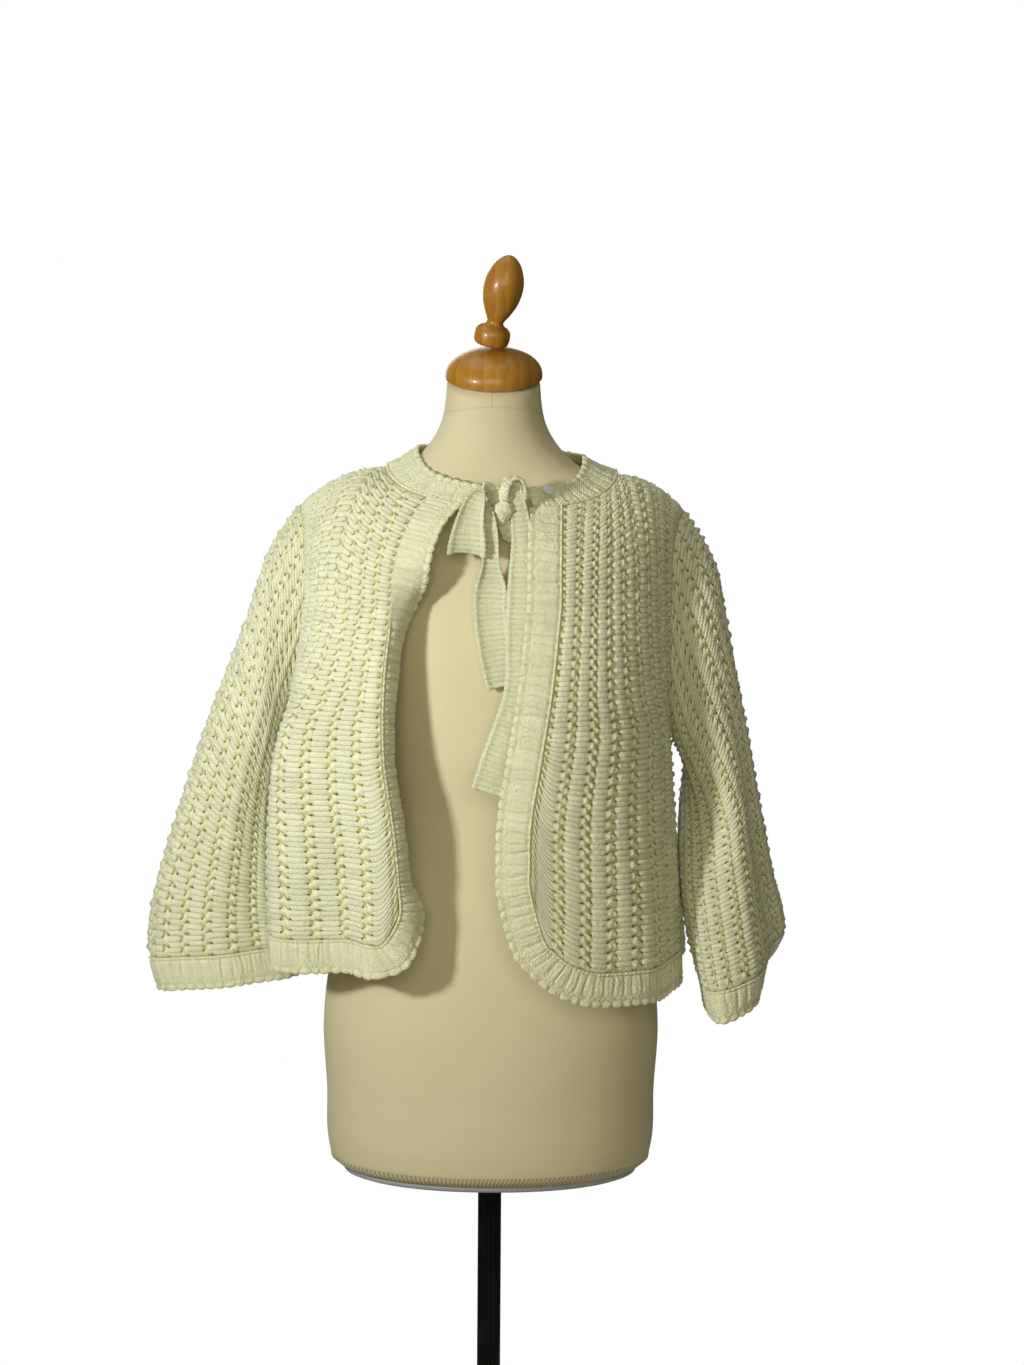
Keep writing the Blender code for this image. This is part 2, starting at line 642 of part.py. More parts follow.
# The dress form: sections from the underside to the neck. lean tips a section forwards
FORM = table(
    "height half_width front back lean",
    (0.7065, 0.1620, 0.1110, 0.1150, 0),
    (0.7115, 0.1690, 0.1170, 0.1210, 0),
    (0.722, 0.1720, 0.1190, 0.1230, 0),
    (0.790, 0.1755, 0.1200, 0.1240, 0),
    (0.860, 0.1790, 0.1190, 0.1240, 0),
    (0.915, 0.1735, 0.1130, 0.1190, 0),
    (0.970, 0.1590, 0.1060, 0.1060, 0),
    (1.030, 0.1370, 0.0950, 0.0880, 0),
    (1.090, 0.1240, 0.0900, 0.0790, 0),
    (1.150, 0.1290, 0.1000, 0.0810, 0),
    (1.205, 0.1390, 0.1040, 0.0880, 0),
    (1.250, 0.1460, 0.1030, 0.0950, 0),
    (1.300, 0.1560, 0.0940, 0.1000, 0),
    (1.345, 0.1630, 0.0860, 0.0980, 0),
    (1.375, 0.1700, 0.0820, 0.0900, 0),
    (1.395, 0.1680, 0.0750, 0.0800, 0),
    (1.413, 0.1560, 0.0680, 0.0700, 0),
    (1.427, 0.1340, 0.0610, 0.0620, 0),
    (1.438, 0.1112, 0.0558, 0.0590, 0.02),
    (1.449, 0.0900, 0.0535, 0.0570, 0.05),
    (1.461, 0.0765, 0.0510, 0.0560, 0.09),
    (1.475, 0.0650, 0.0500, 0.0540, 0.13),
    (1.492, 0.0560, 0.0490, 0.0520, 0.17),
    (1.512, 0.0515, 0.0485, 0.0500, 0.21),
    (1.534, 0.0495, 0.0480, 0.0490, 0.25),
)
FORM_POINTS_ROUND = 36
FORM_SQUARENESS = 2.1
NECK_SHIFT = -0.0015  # the neck stands this far off the pole's axis


def loft(name, rings, finish, collection):
    """A closed solid through rings of points, made from a Blender grid rolled into a tube."""
    rows, columns = rings.shape[:2]
    shape = bmesh.new()
    bmesh.ops.create_grid(shape, x_segments=columns, y_segments=rows - 1, size=1)
    for vertex in shape.verts:
        j = round((vertex.co.x + 1) / 2 * columns) % columns
        i = round((vertex.co.y + 1) / 2 * (rows - 1))
        vertex.co = Vector(rings[i, j])
    bmesh.ops.remove_doubles(shape, verts=shape.verts, dist=1e-6)
    bmesh.ops.holes_fill(shape, edges=shape.edges[:], sides=0)
    bmesh.ops.recalc_face_normals(shape, faces=shape.faces)
    mesh = bpy.data.meshes.new(name)
    shape.to_mesh(mesh)
    shape.free()
    return new_object(name, mesh, finish, collection)


def form_ring(height, half_width, front, back, lean):
    """A section of the dress form: a rounded oval, tipped forwards by its lean."""
    turn = np.linspace(0, 2 * math.pi, FORM_POINTS_ROUND, endpoint=False)
    across, ahead = np.sin(turn), np.cos(turn)
    power = 2 / FORM_SQUARENESS
    x = half_width * np.sign(across) * np.abs(across) ** power
    y = -np.where(ahead > 0, front, back) * np.sign(ahead) * np.abs(ahead) ** power
    shift = NECK_SHIFT * min(1, max(0, (height - 1.30) / 0.15))
    return np.stack([x + shift, y, height + lean * y], axis=1)


UNDERSIDE_HEIGHT = 0.6975
UNDERSIDE_INSET = 0.004


def build_form(collection):
    """The torso with its neck, and the bare underside that shows below the cover."""
    rings = np.array([form_ring(*row) for row in zip(*FORM.values())])
    loft("form_torso", rings, JERSEY, collection)
    low = FORM["height"][0] - 0.0003
    width, front, back = (FORM[name][0] for name in ("half_width", "front", "back"))
    sections = (
        (UNDERSIDE_HEIGHT, 3 * UNDERSIDE_INSET),
        (UNDERSIDE_HEIGHT + 0.0025, 1.5 * UNDERSIDE_INSET),
        (low, UNDERSIDE_INSET),
    )
    rings = [form_ring(height, width - inset, front - inset, back - inset, 0) for height, inset in sections]
    loft("form_underside", np.array(rings), FOAM, collection)


def turned(name, profile, place, tilt, lean, steps, finish, collection):
    """A turned piece: a profile of radius and height, from the top down, with a Screw modifier."""
    mesh = bpy.data.meshes.new(name)
    points = [(radius, 0, height) for radius, height in profile]
    mesh.from_pydata(points, [(i, i + 1) for i in range(len(points) - 1)], [])
    made = new_object(name, mesh, finish, collection)
    made.location = place
    made.rotation_euler = (math.radians(tilt), math.radians(lean), 0)
    screw = made.modifiers.new("turn", "SCREW")
    screw.axis = "Z"
    screw.steps = screw.render_steps = steps
    screw.use_merge_vertices = True
    screw.merge_threshold = 0.00005
    screw.use_normal_calculate = True
    screw.use_smooth_shade = True
    return made


def arc(centre, radii, start, end, count):
    """Points of radius and height along an elliptic arc between two angles in degrees."""
    angles = np.radians(np.linspace(start, end, count))
    return [(centre[0] + radii[0] * math.cos(a), centre[1] + radii[1] * math.sin(a)) for a in angles]


CAP_RADIUS = 0.0510
CAP_DOME = 0.0275
CAP_TILT = 15.5  # the neck's top leans forwards by this many degrees
CAP_PLACE = (-0.0016, 0.0005, 1.5362)
FINIAL_TILT = 13.0
FINIAL_LEAN = 13.0  # the finial leans to the wearer's left, as its screw is bent
FINIAL_PROFILE = table(
    "height radius",
    (0.0000, 0.0150),
    (0.0022, 0.0176),
    (0.0060, 0.0187),
    (0.0110, 0.0189),
    (0.0160, 0.0180),
    (0.0195, 0.0150),
    (0.0215, 0.0108),
    (0.0245, 0.0086),
    (0.0285, 0.0101),
    (0.0350, 0.0138),
    (0.0450, 0.0181),
    (0.0530, 0.0200),
    (0.0610, 0.0208),
    (0.0690, 0.0203),
    (0.0765, 0.0183),
    (0.0860, 0.0140),
    (0.0920, 0.0088),
    (0.0952, 0.0040),
)
FINIAL_LENGTH = 0.0961
FINIAL_SEAT = (-0.0040, 0.0010, 0.0034)  # from the dome's top to the finial's foot


def build_cap(collection):
    """The turned neck cap, and on it the turned finial, which leans to one side."""
    rim = 0.0085
    dome = arc((0, rim), (CAP_RADIUS, CAP_DOME), 90, 0, 10)
    under = [(CAP_RADIUS - 0.0022, rim - 0.0050), (CAP_RADIUS - 0.0080, 0.0), (0.0, 0.0)]
    turned("neck_cap", dome + under, CAP_PLACE, CAP_TILT, 0, 32, WOOD, collection)
    tilt = Matrix.Rotation(math.radians(CAP_TILT), 3, "X")
    apex = Vector(CAP_PLACE) + tilt @ Vector((0, 0, rim + CAP_DOME))
    profile = [(0.0, FINIAL_LENGTH)]
    profile += [(r, z) for z, r in zip(FINIAL_PROFILE["height"][::-1], FINIAL_PROFILE["radius"][::-1])]
    profile += [(0.0, 0.0)]
    place = apex + Vector(FINIAL_SEAT)
    turned("finial", profile, place, FINIAL_TILT, FINIAL_LEAN, 24, WOOD, collection)


POLE_RADIUS = 0.0125
POLE_FLUTES = 12
POLE_FLUTE_DEPTH = 0.0012
BASE_RADIUS = 0.190
BASE_EDGE = 0.009
BASE_CROWN = 0.016
HUB_TOP = 0.062


def build_stand(collection):
    """The fluted pole and the plain round base with its hub."""
    low, high = 0.030, UNDERSIDE_HEIGHT - 0.0003
    turn = np.arange(2 * POLE_FLUTES) * math.pi / POLE_FLUTES
    radius = POLE_RADIUS - POLE_FLUTE_DEPTH * (np.arange(2 * POLE_FLUTES) % 2)
    ring = np.stack([radius * np.cos(turn), radius * np.sin(turn)], axis=1)
    rings = [np.column_stack([ring, np.full(len(ring), z)]) for z in (low, high)]
    loft("pole", np.array(rings), BLACK_METAL, collection)
    bore = POLE_RADIUS + 0.0003
    socket = [(0.0, low - 0.0003), (bore, low - 0.0003), (bore, HUB_TOP - 0.002), (bore + 0.001, HUB_TOP)]
    hub = arc((0.018, HUB_TOP - 0.004), (0.004, 0.004), 90, 0, 4)
    flare = arc((0.050, HUB_TOP - 0.010), (0.028, HUB_TOP - 0.010 - BASE_CROWN), 180, 270, 6)
    rim = [(BASE_RADIUS - 0.012, BASE_EDGE + 0.001), (BASE_RADIUS - 0.003, BASE_EDGE - 0.002)]
    rim += [(BASE_RADIUS, BASE_EDGE - 0.005), (BASE_RADIUS, 0.002), (BASE_RADIUS - 0.002, 0.0), (0.0, 0.0)]
    turned("base", socket + hub + flare + rim, (0, 0, 0), 0, 0, 40, BLACK_METAL, collection)


# The tie: crochet ribbons with a knot. Each row is a place on a ribbon's middle line, with
# its half width, the tilt of its width in the picture's plane, and how far that turns in depth
LOOP_LEFT = table(
    "step x y z half tilt turn",
    (0, 0.0018, -0.1060, 1.4149, 0.0045, 55, 0),
    (1, -0.0085, -0.1110, 1.4265, 0.0055, 50, 0),
    (2, -0.0200, -0.1160, 1.4150, 0.0080, 28, 0),
    (3, -0.0258, -0.1185, 1.3930, 0.0133, 5, 0),
    (4, -0.0270, -0.1190, 1.3712, 0.0180, -5, 0),
    (5, -0.0275, -0.1145, 1.3615, 0.0184, -6, 0),
    (6, -0.0270, -0.1100, 1.3720, 0.0170, -5, 0),
    (7, -0.0230, -0.1050, 1.3930, 0.0110, 5, 0),
    (8, -0.0110, -0.1030, 1.4105, 0.0045, 30, 0),
)
LOOP_RIGHT = table(
    "step x y z half tilt turn",
    (0, 0.0110, -0.1030, 1.4205, 0.0060, 0, 120),
    (1, 0.0120, -0.1045, 1.4310, 0.0075, 0, 120),
    (2, 0.0170, -0.1045, 1.4375, 0.0080, 0, 120),
    (3, 0.0240, -0.1035, 1.4365, 0.0080, 0, 120),
    (4, 0.0280, -0.1020, 1.4300, 0.0075, 0, 120),
    (5, 0.0265, -0.1010, 1.4185, 0.0060, 0, 120),
)
TAIL_LEFT = table(
    "step x y z half tilt turn",
    (0, -0.0018, -0.0965, 1.4030, 0.0040, 10, 0),
    (1, -0.0020, -0.0980, 1.3860, 0.0058, 8, 0),
    (2, 0.0000, -0.0980, 1.3640, 0.0070, 4, 0),
    (3, -0.0016, -0.0980, 1.3480, 0.0115, 2, 0),
    (4, -0.0018, -0.1000, 1.3260, 0.0154, 0, 0),
    (5, -0.0024, -0.1025, 1.3030, 0.0166, -3, 0),
    (6, 0.0010, -0.1075, 1.2720, 0.0166, -8, 0),
    (7, 0.0070, -0.1110, 1.2420, 0.0162, -12, 0),
    (8, 0.0105, -0.1120, 1.2270, 0.0150, -14, 0),
)
TAIL_RIGHT = table(
    "step x y z half tilt turn",
    (0, 0.0230, -0.1015, 1.4118, 0.0045, -20, 0),
    (1, 0.0275, -0.1010, 1.3950, 0.0058, -12, 0),
    (2, 0.0305, -0.1010, 1.3700, 0.0105, -4, 0),
    (3, 0.0310, -0.1140, 1.3270, 0.0156, 0, 0),
    (4, 0.0298, -0.1235, 1.2760, 0.0163, 0, 0),
    (5, 0.0290, -0.1305, 1.2260, 0.0163, -8, 0),
    (6, 0.0170, -0.1330, 1.1850, 0.0163, -18, 0),
    (7, 0.0050, -0.1345, 1.1520, 0.0163, -20, 0),
    (8, -0.0045, -0.1355, 1.1220, 0.0160, -22, 0),
)
RIBBON_THICKNESS = 0.0028
RIBBON_STEPS = 3  # rows of points between two rows of a ribbon's table


def ribbon(name, sheet, collection):
    """A ribbon's wall: points across it at each place, crowned a little in the middle."""
    steps = np.linspace(0, sheet["step"][-1], int(sheet["step"][-1]) * RIBBON_STEPS + 1)
    middle = np.stack([read(sheet, axis, steps) for axis in "xyz"], axis=1)
    along = np.gradient(middle, axis=0)
    rows = []
    lifts = []
    for k, step in enumerate(steps):
        tilt, turn = math.radians(read(sheet, "tilt", step)), math.radians(read(sheet, "turn", step))
        across = np.array([math.cos(tilt) * math.cos(turn), math.sin(turn), math.sin(tilt) * math.cos(turn)])
        run = along[k] / np.linalg.norm(along[k])
        across -= run * np.dot(across, run)
        across /= np.linalg.norm(across)
        face = np.cross(run, across)
        half = read(sheet, "half", step)
        rows.append([middle[k] + across * half * s + face * 0.0012 * (1 - s * s) for s in (-1, -0.4, 0.4, 1)])
        lifts.append(face)
    inner = np.array(rows)
    outer = inner + np.array(lifts)[:, None, :] * RIBBON_THICKNESS
    wall(name, inner, outer, False, YARN, collection)


KNOT_PLACE = (0.0098, -0.1035, 1.4050)
KNOT_SIZE = (0.0086, 0.0080, 0.0150)
BUTTON_RADIUS = 0.0061
BUTTON_PLACE = (0.0556, -0.0735, 1.4253)  # on the neckband's outer face
BUTTON_TILT, BUTTON_LEAN = 42.0, 19.5


def build_tie(collection):
    """The bow at the neck: a knot, two loops and two tails, and the small button on the band."""
    ribbon("tie_loop_left", LOOP_LEFT, collection)
    ribbon("tie_loop_right", LOOP_RIGHT, collection)
    ribbon("tie_tail_left", TAIL_LEFT, collection)
    ribbon("tie_tail_right", TAIL_RIGHT, collection)
    shape = bmesh.new()
    bmesh.ops.create_uvsphere(shape, u_segments=14, v_segments=9, radius=1)
    for vertex in shape.verts:
        pinch = 1 + 0.10 * math.cos(3 * math.atan2(vertex.co.y, vertex.co.x))
        x, y, z = vertex.co
        vertex.co = (x * KNOT_SIZE[0] * pinch, y * KNOT_SIZE[1] * pinch, z * KNOT_SIZE[2])
    mesh = bpy.data.meshes.new("tie_knot")
    shape.to_mesh(mesh)
    shape.free()
    knot = new_object("tie_knot", mesh, YARN, collection)
    knot.location = KNOT_PLACE
    edge = BUTTON_RADIUS - 0.0018
    profile = [(0.0, 0.0034)] + arc((edge, 0.0018), (0.0018, 0.0016), 90, -60, 6)
    profile += [(0.0020, 0.0006), (0.0020, 0.0), (0.0, 0.0)]
    turned("button", profile, BUTTON_PLACE, BUTTON_TILT, BUTTON_LEAN, 16, PEARL, collection)


def main():
    for old in list(bpy.data.objects):
        bpy.data.objects.remove(old, do_unlink=True)
    collection = bpy.data.collections.new("cardigan on a dress form")
    bpy.context.scene.collection.children.link(collection)
    build_cardigan(collection)
    build_form(collection)
    build_cap(collection)
    build_stand(collection)
    build_tie(collection)


main()
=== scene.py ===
# Open crochet cardigan with wide sleeves and a tied neck, on a limbless dress form with a pole stand.
#
# The cloth lies on the same surfaces as the CAD walls, and every crochet stitch is raised on them:
# ribs that run down the panels and sleeves, bars across the edgings, and loops along the ribbons.
# Metres, +Z up, the front faces -Y. "left" is the left of the picture.

import math

import bmesh
import bpy
import numpy as np
from mathutils import Matrix, Quaternion, Vector


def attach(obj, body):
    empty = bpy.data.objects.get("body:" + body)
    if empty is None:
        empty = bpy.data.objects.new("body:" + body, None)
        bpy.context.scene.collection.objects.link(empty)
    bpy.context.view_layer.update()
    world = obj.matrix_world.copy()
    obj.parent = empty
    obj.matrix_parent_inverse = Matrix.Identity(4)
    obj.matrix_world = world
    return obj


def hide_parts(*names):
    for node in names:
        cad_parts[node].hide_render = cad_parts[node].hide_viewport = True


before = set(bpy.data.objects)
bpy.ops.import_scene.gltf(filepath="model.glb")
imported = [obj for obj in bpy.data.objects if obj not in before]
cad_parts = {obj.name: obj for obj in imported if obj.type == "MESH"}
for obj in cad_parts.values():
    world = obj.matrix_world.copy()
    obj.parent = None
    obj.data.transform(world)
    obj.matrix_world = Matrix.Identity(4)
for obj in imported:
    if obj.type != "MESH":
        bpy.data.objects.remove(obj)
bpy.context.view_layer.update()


def table(columns, *rows):
    # A small table: a name for each column, and a row for each section or fold.
    return {name: np.array(column, float) for name, column in zip(columns.split(), zip(*rows))}


def meshFrom(name, shape):
    mesh = bpy.data.meshes.new(name)
    shape.to_mesh(mesh)
    shape.free()
    return mesh


def linked(name, data):
    made = bpy.data.objects.new(name, data)
    bpy.context.scene.collection.objects.link(made)
    return made


def unit(vectors):
    return vectors / np.maximum(np.linalg.norm(vectors, axis=-1), 1e-9)[..., None]


def bell(at, centre, width):
    return np.exp(-(((at - centre) / width) ** 2))


def arch(at, power):
    # A row of humps, one from each whole number to the next.
    return np.abs(np.sin(math.pi * at)) ** power


def squared(at, power):
    # A sine or cosine drawn out towards its ends, for a rounded oval.
    return np.sign(at) * np.abs(at) ** (2 / power)


def ease(share):
    return share * share * (3 - 2 * share)


def wrapped(at):
    # A place round a stitch, from half before it to half after it.
    return (at + 0.5) % 1 - 0.5


def runAlong(points):
    # The length of a line up to each of its points.
    steps = np.linalg.norm(np.diff(points, axis=0), axis=-1)
    return np.concatenate([np.zeros((1, *steps.shape[1:])), np.cumsum(steps, axis=0)])


def between(at, known, values):
    # Rows of values, read at places between the known ones.
    return np.stack([np.interp(at, known, column) for column in values.T], axis=1)


# The view

view = {"place": (0.020, -3.0, 1.52), "lens": 75.35, "down": 5.7, "roll": 0.42}

lights = {  # place, size, watts, spread and colour
    "key": ((-1.13, -1.24, 1.56), 0.18, 4.6, 92, (0.98, 0.99, 1.0)),
    "fill": ((0.1, -3.6, 1.9), 2.2, 36, 180, (1.0, 0.95, 0.77)),
    "top": ((-0.3, 0.2, 3.6), 2.0, 10, 180, (1.0, 1.0, 0.97)),
    "back": ((-0.9, 3.4, 2.2), 2.6, 50, 180, (1.0, 0.99, 0.95)),
}
surround = {
    "aim": (-0.05, -0.1, 1.28),
    "tint": (1.0, 0.92, 0.66, 1.0),
    "strength": {"From Min": -0.5, "From Max": 0.6, "To Min": 0.02, "To Max": 0.12},
    "backdrop": 1.0,
    "floorRadius": 1.25,
    "floorDrop": 0.0005,
}


def addCamera():
    data = bpy.data.cameras.new("camera")
    data.lens = view["lens"]
    camera = linked("camera", data)
    camera.location = view["place"]
    down = math.radians(view["down"])
    look = Vector((0, math.cos(down), -math.sin(down))).to_track_quat("-Z", "Y")
    camera.rotation_mode = "QUATERNION"
    camera.rotation_quaternion = look @ Quaternion((0, 0, 1), math.radians(view["roll"]))
    bpy.context.scene.camera = camera


def addLights():
    for name, (place, size, watts, spread, colour) in lights.items():
        data = bpy.data.lights.new(name, "AREA")
        data.shape = "DISK"
        data.size = size
        data.energy = watts
        data.color = colour
        data.spread = math.radians(spread)
        lamp = linked(name, data)
        lamp.location = place
        aim = Vector(surround["aim"]) - lamp.location
        lamp.rotation_euler = aim.to_track_quat("-Z", "Y").to_euler()


def addSurround():
    # a white world for the camera, and a dimmer one for what it lights
    world = bpy.data.worlds.new("studio")
    world.use_nodes = True
    nodes = world.node_tree.nodes
    kinds = ("TexCoord", "SeparateXYZ", "MapRange", "Background", "MixShader", "LightPath")
    place, split, rise, white, mix, path = (nodes.new("ShaderNode" + kind) for kind in kinds)
    light = nodes["Background"]
    for socket, value in surround["strength"].items():
        rise.inputs[socket].default_value = value
    light.inputs["Color"].default_value = surround["tint"]
    white.inputs["Color"].default_value = (1, 1, 1, 1)
    white.inputs["Strength"].default_value = surround["backdrop"]
    for source, output, target, socket in (
        (place, "Generated", split, "Vector"),
        (split, "Z", rise, "Value"),
        (rise, "Result", light, "Strength"),
        (path, "Is Camera Ray", mix, "Fac"),
        (light, "Background", mix, 1),
        (white, "Background", mix, 2),
        (mix, "Shader", nodes["World Output"], "Surface"),
    ):
        world.node_tree.links.new(source.outputs[output], target.inputs[socket])
    bpy.context.scene.world = world
    bpy.context.scene.view_settings.view_transform = "Standard"
    shape = bmesh.new()
    bmesh.ops.create_circle(shape, cap_ends=True, segments=96, radius=surround["floorRadius"])
    floor = linked("floor", meshFrom("floor", shape))
    floor.location.z = -surround["floorDrop"]


addCamera()
addLights()
addSurround()
print("camera, lights and floor made")


# Shader helpers


class Value:
    # A node's output socket, so that shader maths reads as plain sums and products.

    def __init__(self, finish, socket):
        self.finish = finish
        self.socket = socket

    def maths(self, operation, *terms):
        return self.finish.node("ShaderNodeMath", {"operation": operation}, dict(enumerate(terms)))

    def __add__(self, other):
        return self.maths("ADD", self, other)

    def __radd__(self, other):
        return self.maths("ADD", other, self)

    def __sub__(self, other):
        return self.maths("SUBTRACT", self, other)

    def __rsub__(self, other):
        return self.maths("SUBTRACT", other, self)

    def __mul__(self, other):
        return self.maths("MULTIPLY", self, other)

    def __rmul__(self, other):
        return self.maths("MULTIPLY", other, self)

    def __abs__(self):
        return self.maths("ABSOLUTE", self)

    def fraction(self):
        return self.maths("FRACT", self)


class Finish:
    # A material with a Principled shader, and one method that adds any other node.

    def __init__(self, name, **constants):
        self.material = bpy.data.materials.new(name)
        self.material.use_nodes = True
        self.tree = self.material.node_tree
        self.shader = self.tree.nodes["Principled BSDF"]
        for socket, value in constants.items():
            self.shader.inputs[socket.replace("_", " ")].default_value = value

    def node(self, kind, settings=None, sockets=None, output=0):
        made = self.tree.nodes.new(kind)
        for name, value in (settings or {}).items():
            if name == "stops":
                self.setStops(made.color_ramp, value)
            else:
                setattr(made, name, value)
        for name, value in (sockets or {}).items():
            if isinstance(value, Value):
                self.tree.links.new(value.socket, made.inputs[name])
            else:
                made.inputs[name].default_value = value
        return Value(self, made.outputs[output])

    def setStops(self, ramp, stops):
        while len(ramp.elements) < len(stops):
            ramp.elements.new(1)
        for element, (place, colour) in zip(ramp.elements, stops):
            element.position = place
            element.color = (*colour, 1)

    def place(self, scale=(1, 1, 1)):
        place = self.node("ShaderNodeTexCoord", output="Object")
        return self.node("ShaderNodeMapping", sockets={"Vector": place, "Scale": scale})

    def axis(self, vector, number):
        return self.node("ShaderNodeSeparateXYZ", sockets={"Vector": vector}, output=number)

    def attribute(self, name):
        return self.node("ShaderNodeAttribute", {"attribute_name": name}, output="Fac")

    def noise(self, vector, scale, detail=2.0):
        sockets = {"Vector": vector, "Scale": scale, "Detail": detail}
        return self.node("ShaderNodeTexNoise", sockets=sockets)

    def bands(self, profile, direction, **sockets):
        settings = {"wave_type": "BANDS", "bands_direction": direction, "wave_profile": profile}
        sockets = {name.replace("_", " "): value for name, value in sockets.items()}
        return self.node("ShaderNodeTexWave", settings, sockets, output=1)

    def step(self, value, low, high):
        # 0 at low, 1 at high, on a smooth curve
        sockets = {"Value": value, "From Min": low, "From Max": high}
        return self.node("ShaderNodeMapRange", {"interpolation_type": "SMOOTHSTEP"}, sockets)

    def spot(self, across, along, x, y, wide, tall):
        # 1 at a place of the stitch, falling off to nothing round it
        offX, offY = (across - x) * (1 / wide), (along - y) * (1 / tall)
        return self.step(offX * offX + offY * offY, 1.6, 0.0)

    def mix(self, share, first, second):
        sockets = {0: share, 6: first, 7: second}
        return self.node("ShaderNodeMix", {"data_type": "RGBA"}, sockets, output=2)

    def bump(self, height, distance, strength=1.0, normal=None):
        sockets = {"Height": height, "Distance": distance, "Strength": strength}
        if normal:
            sockets["Normal"] = normal
        return self.node("ShaderNodeBump", sockets=sockets)

    def feed(self, socket, value):
        self.tree.links.new(value.socket, self.shader.inputs[socket])


def rgb(red, green, blue):
    return (red, green, blue, 1.0)


# The garment's surfaces: the same tables and functions as the CAD's

cut = {
    "bandWidth": 0.034,
    "shoulderRibs": 4,
    "leftRibs": 8,
    "rightRibs": 9,
    "backRibs": 22,
    "armholeRows": 4,
    "skirtRows": 6,
    "yokeRows": 5,
    "leftTip": (-0.202, 0.0, 1.405),
    "rightTip": (0.198, 0.0, 1.402),
    "yokeHeight": 1.310,
    "underarm": 1.185,
    "armholeHalf": 0.037,
    "leftCorner": 0.036,
    "rightCorner": 0.080,
    "shoulderTilt": 86.0,
    "frontTilt": 56.0,
    "backTilt": 62.0,
}

body = {
    "roundness": 2.3,
    "foldRun": 0.17,
    "sections": table(
        "height left right front back",
        (0.890, 0.214, 0.206, 0.166, 0.148),
        (0.940, 0.217, 0.205, 0.166, 0.144),
        (1.020, 0.220, 0.200, 0.165, 0.136),
        (1.100, 0.218, 0.193, 0.164, 0.128),
        (1.185, 0.210, 0.187, 0.160, 0.122),
        (1.250, 0.204, 0.185, 0.150, 0.118),
        (1.310, 0.199, 0.187, 0.132, 0.112),
    ),
    "frontEdge": table(
        "height left right",
        (0.890, -0.096, 0.036), (1.020, -0.094, 0.041), (1.090, -0.101, 0.041),
        (1.150, -0.110, 0.050), (1.228, -0.111, 0.062), (1.310, -0.103, 0.070),
    ),
    "lowerSeam": table(
        "turn height",
        (-270, 0.953), (-180, 0.966), (-90, 0.966), (-60, 0.966), (-45, 0.969), (-32, 0.962),
        (-18, 0.966), (18, 0.944), (45, 0.939), (70, 0.942), (90, 0.953),
    ),
    "folds": table(
        "turn depth width start",
        (-262, -0.008, 12, 1.20), (-240, 0.009, 11, 1.12), (-218, -0.009, 11, 1.25),
        (-196, 0.008, 12, 1.15), (-172, -0.008, 10, 1.22), (-150, 0.010, 12, 1.17),
        (-126, -0.008, 11, 1.20), (-92, -0.026, 14, 1.31), (-62, 0.030, 14, 1.30),
        (-43, -0.011, 8, 1.12), (-32, 0.006, 6, 1.05), (48, 0.005, 9, 1.12), (66, -0.005, 8, 1.15),
        (88, -0.010, 10, 1.31), (114, 0.012, 12, 1.27),
    ),
}

neck = {
    "centre": (0.008, -0.002),
    "halfWidth": 0.121,
    "front": 0.092,
    "back": 0.074,
    "leftTop": -38.0,
    "rightTop": 31.0,
    "leftEdge": -19.5,
    "rightEdge": 14.0,
    "leftEnd": 0.0,
    "rightEnd": 15.5,
    "bulge": 0.0015,
    "line": table(
        "turn height",
        (-180, 1.455), (-135, 1.450), (-90, 1.444), (-45, 1.419), (0, 1.408), (45, 1.413),
        (90, 1.4385), (135, 1.446), (180, 1.455),
    ),
    "rise": table(
        "turn inward upward",
        (-180, 0.012, 0.024), (-135, 0.019, 0.018), (-90, 0.033, 0.020), (-45, 0.024, 0.020),
        (0, 0.017, 0.019), (45, 0.024, 0.018), (90, 0.036, 0.016), (135, 0.020, 0.015),
        (180, 0.012, 0.024),
    ),
}

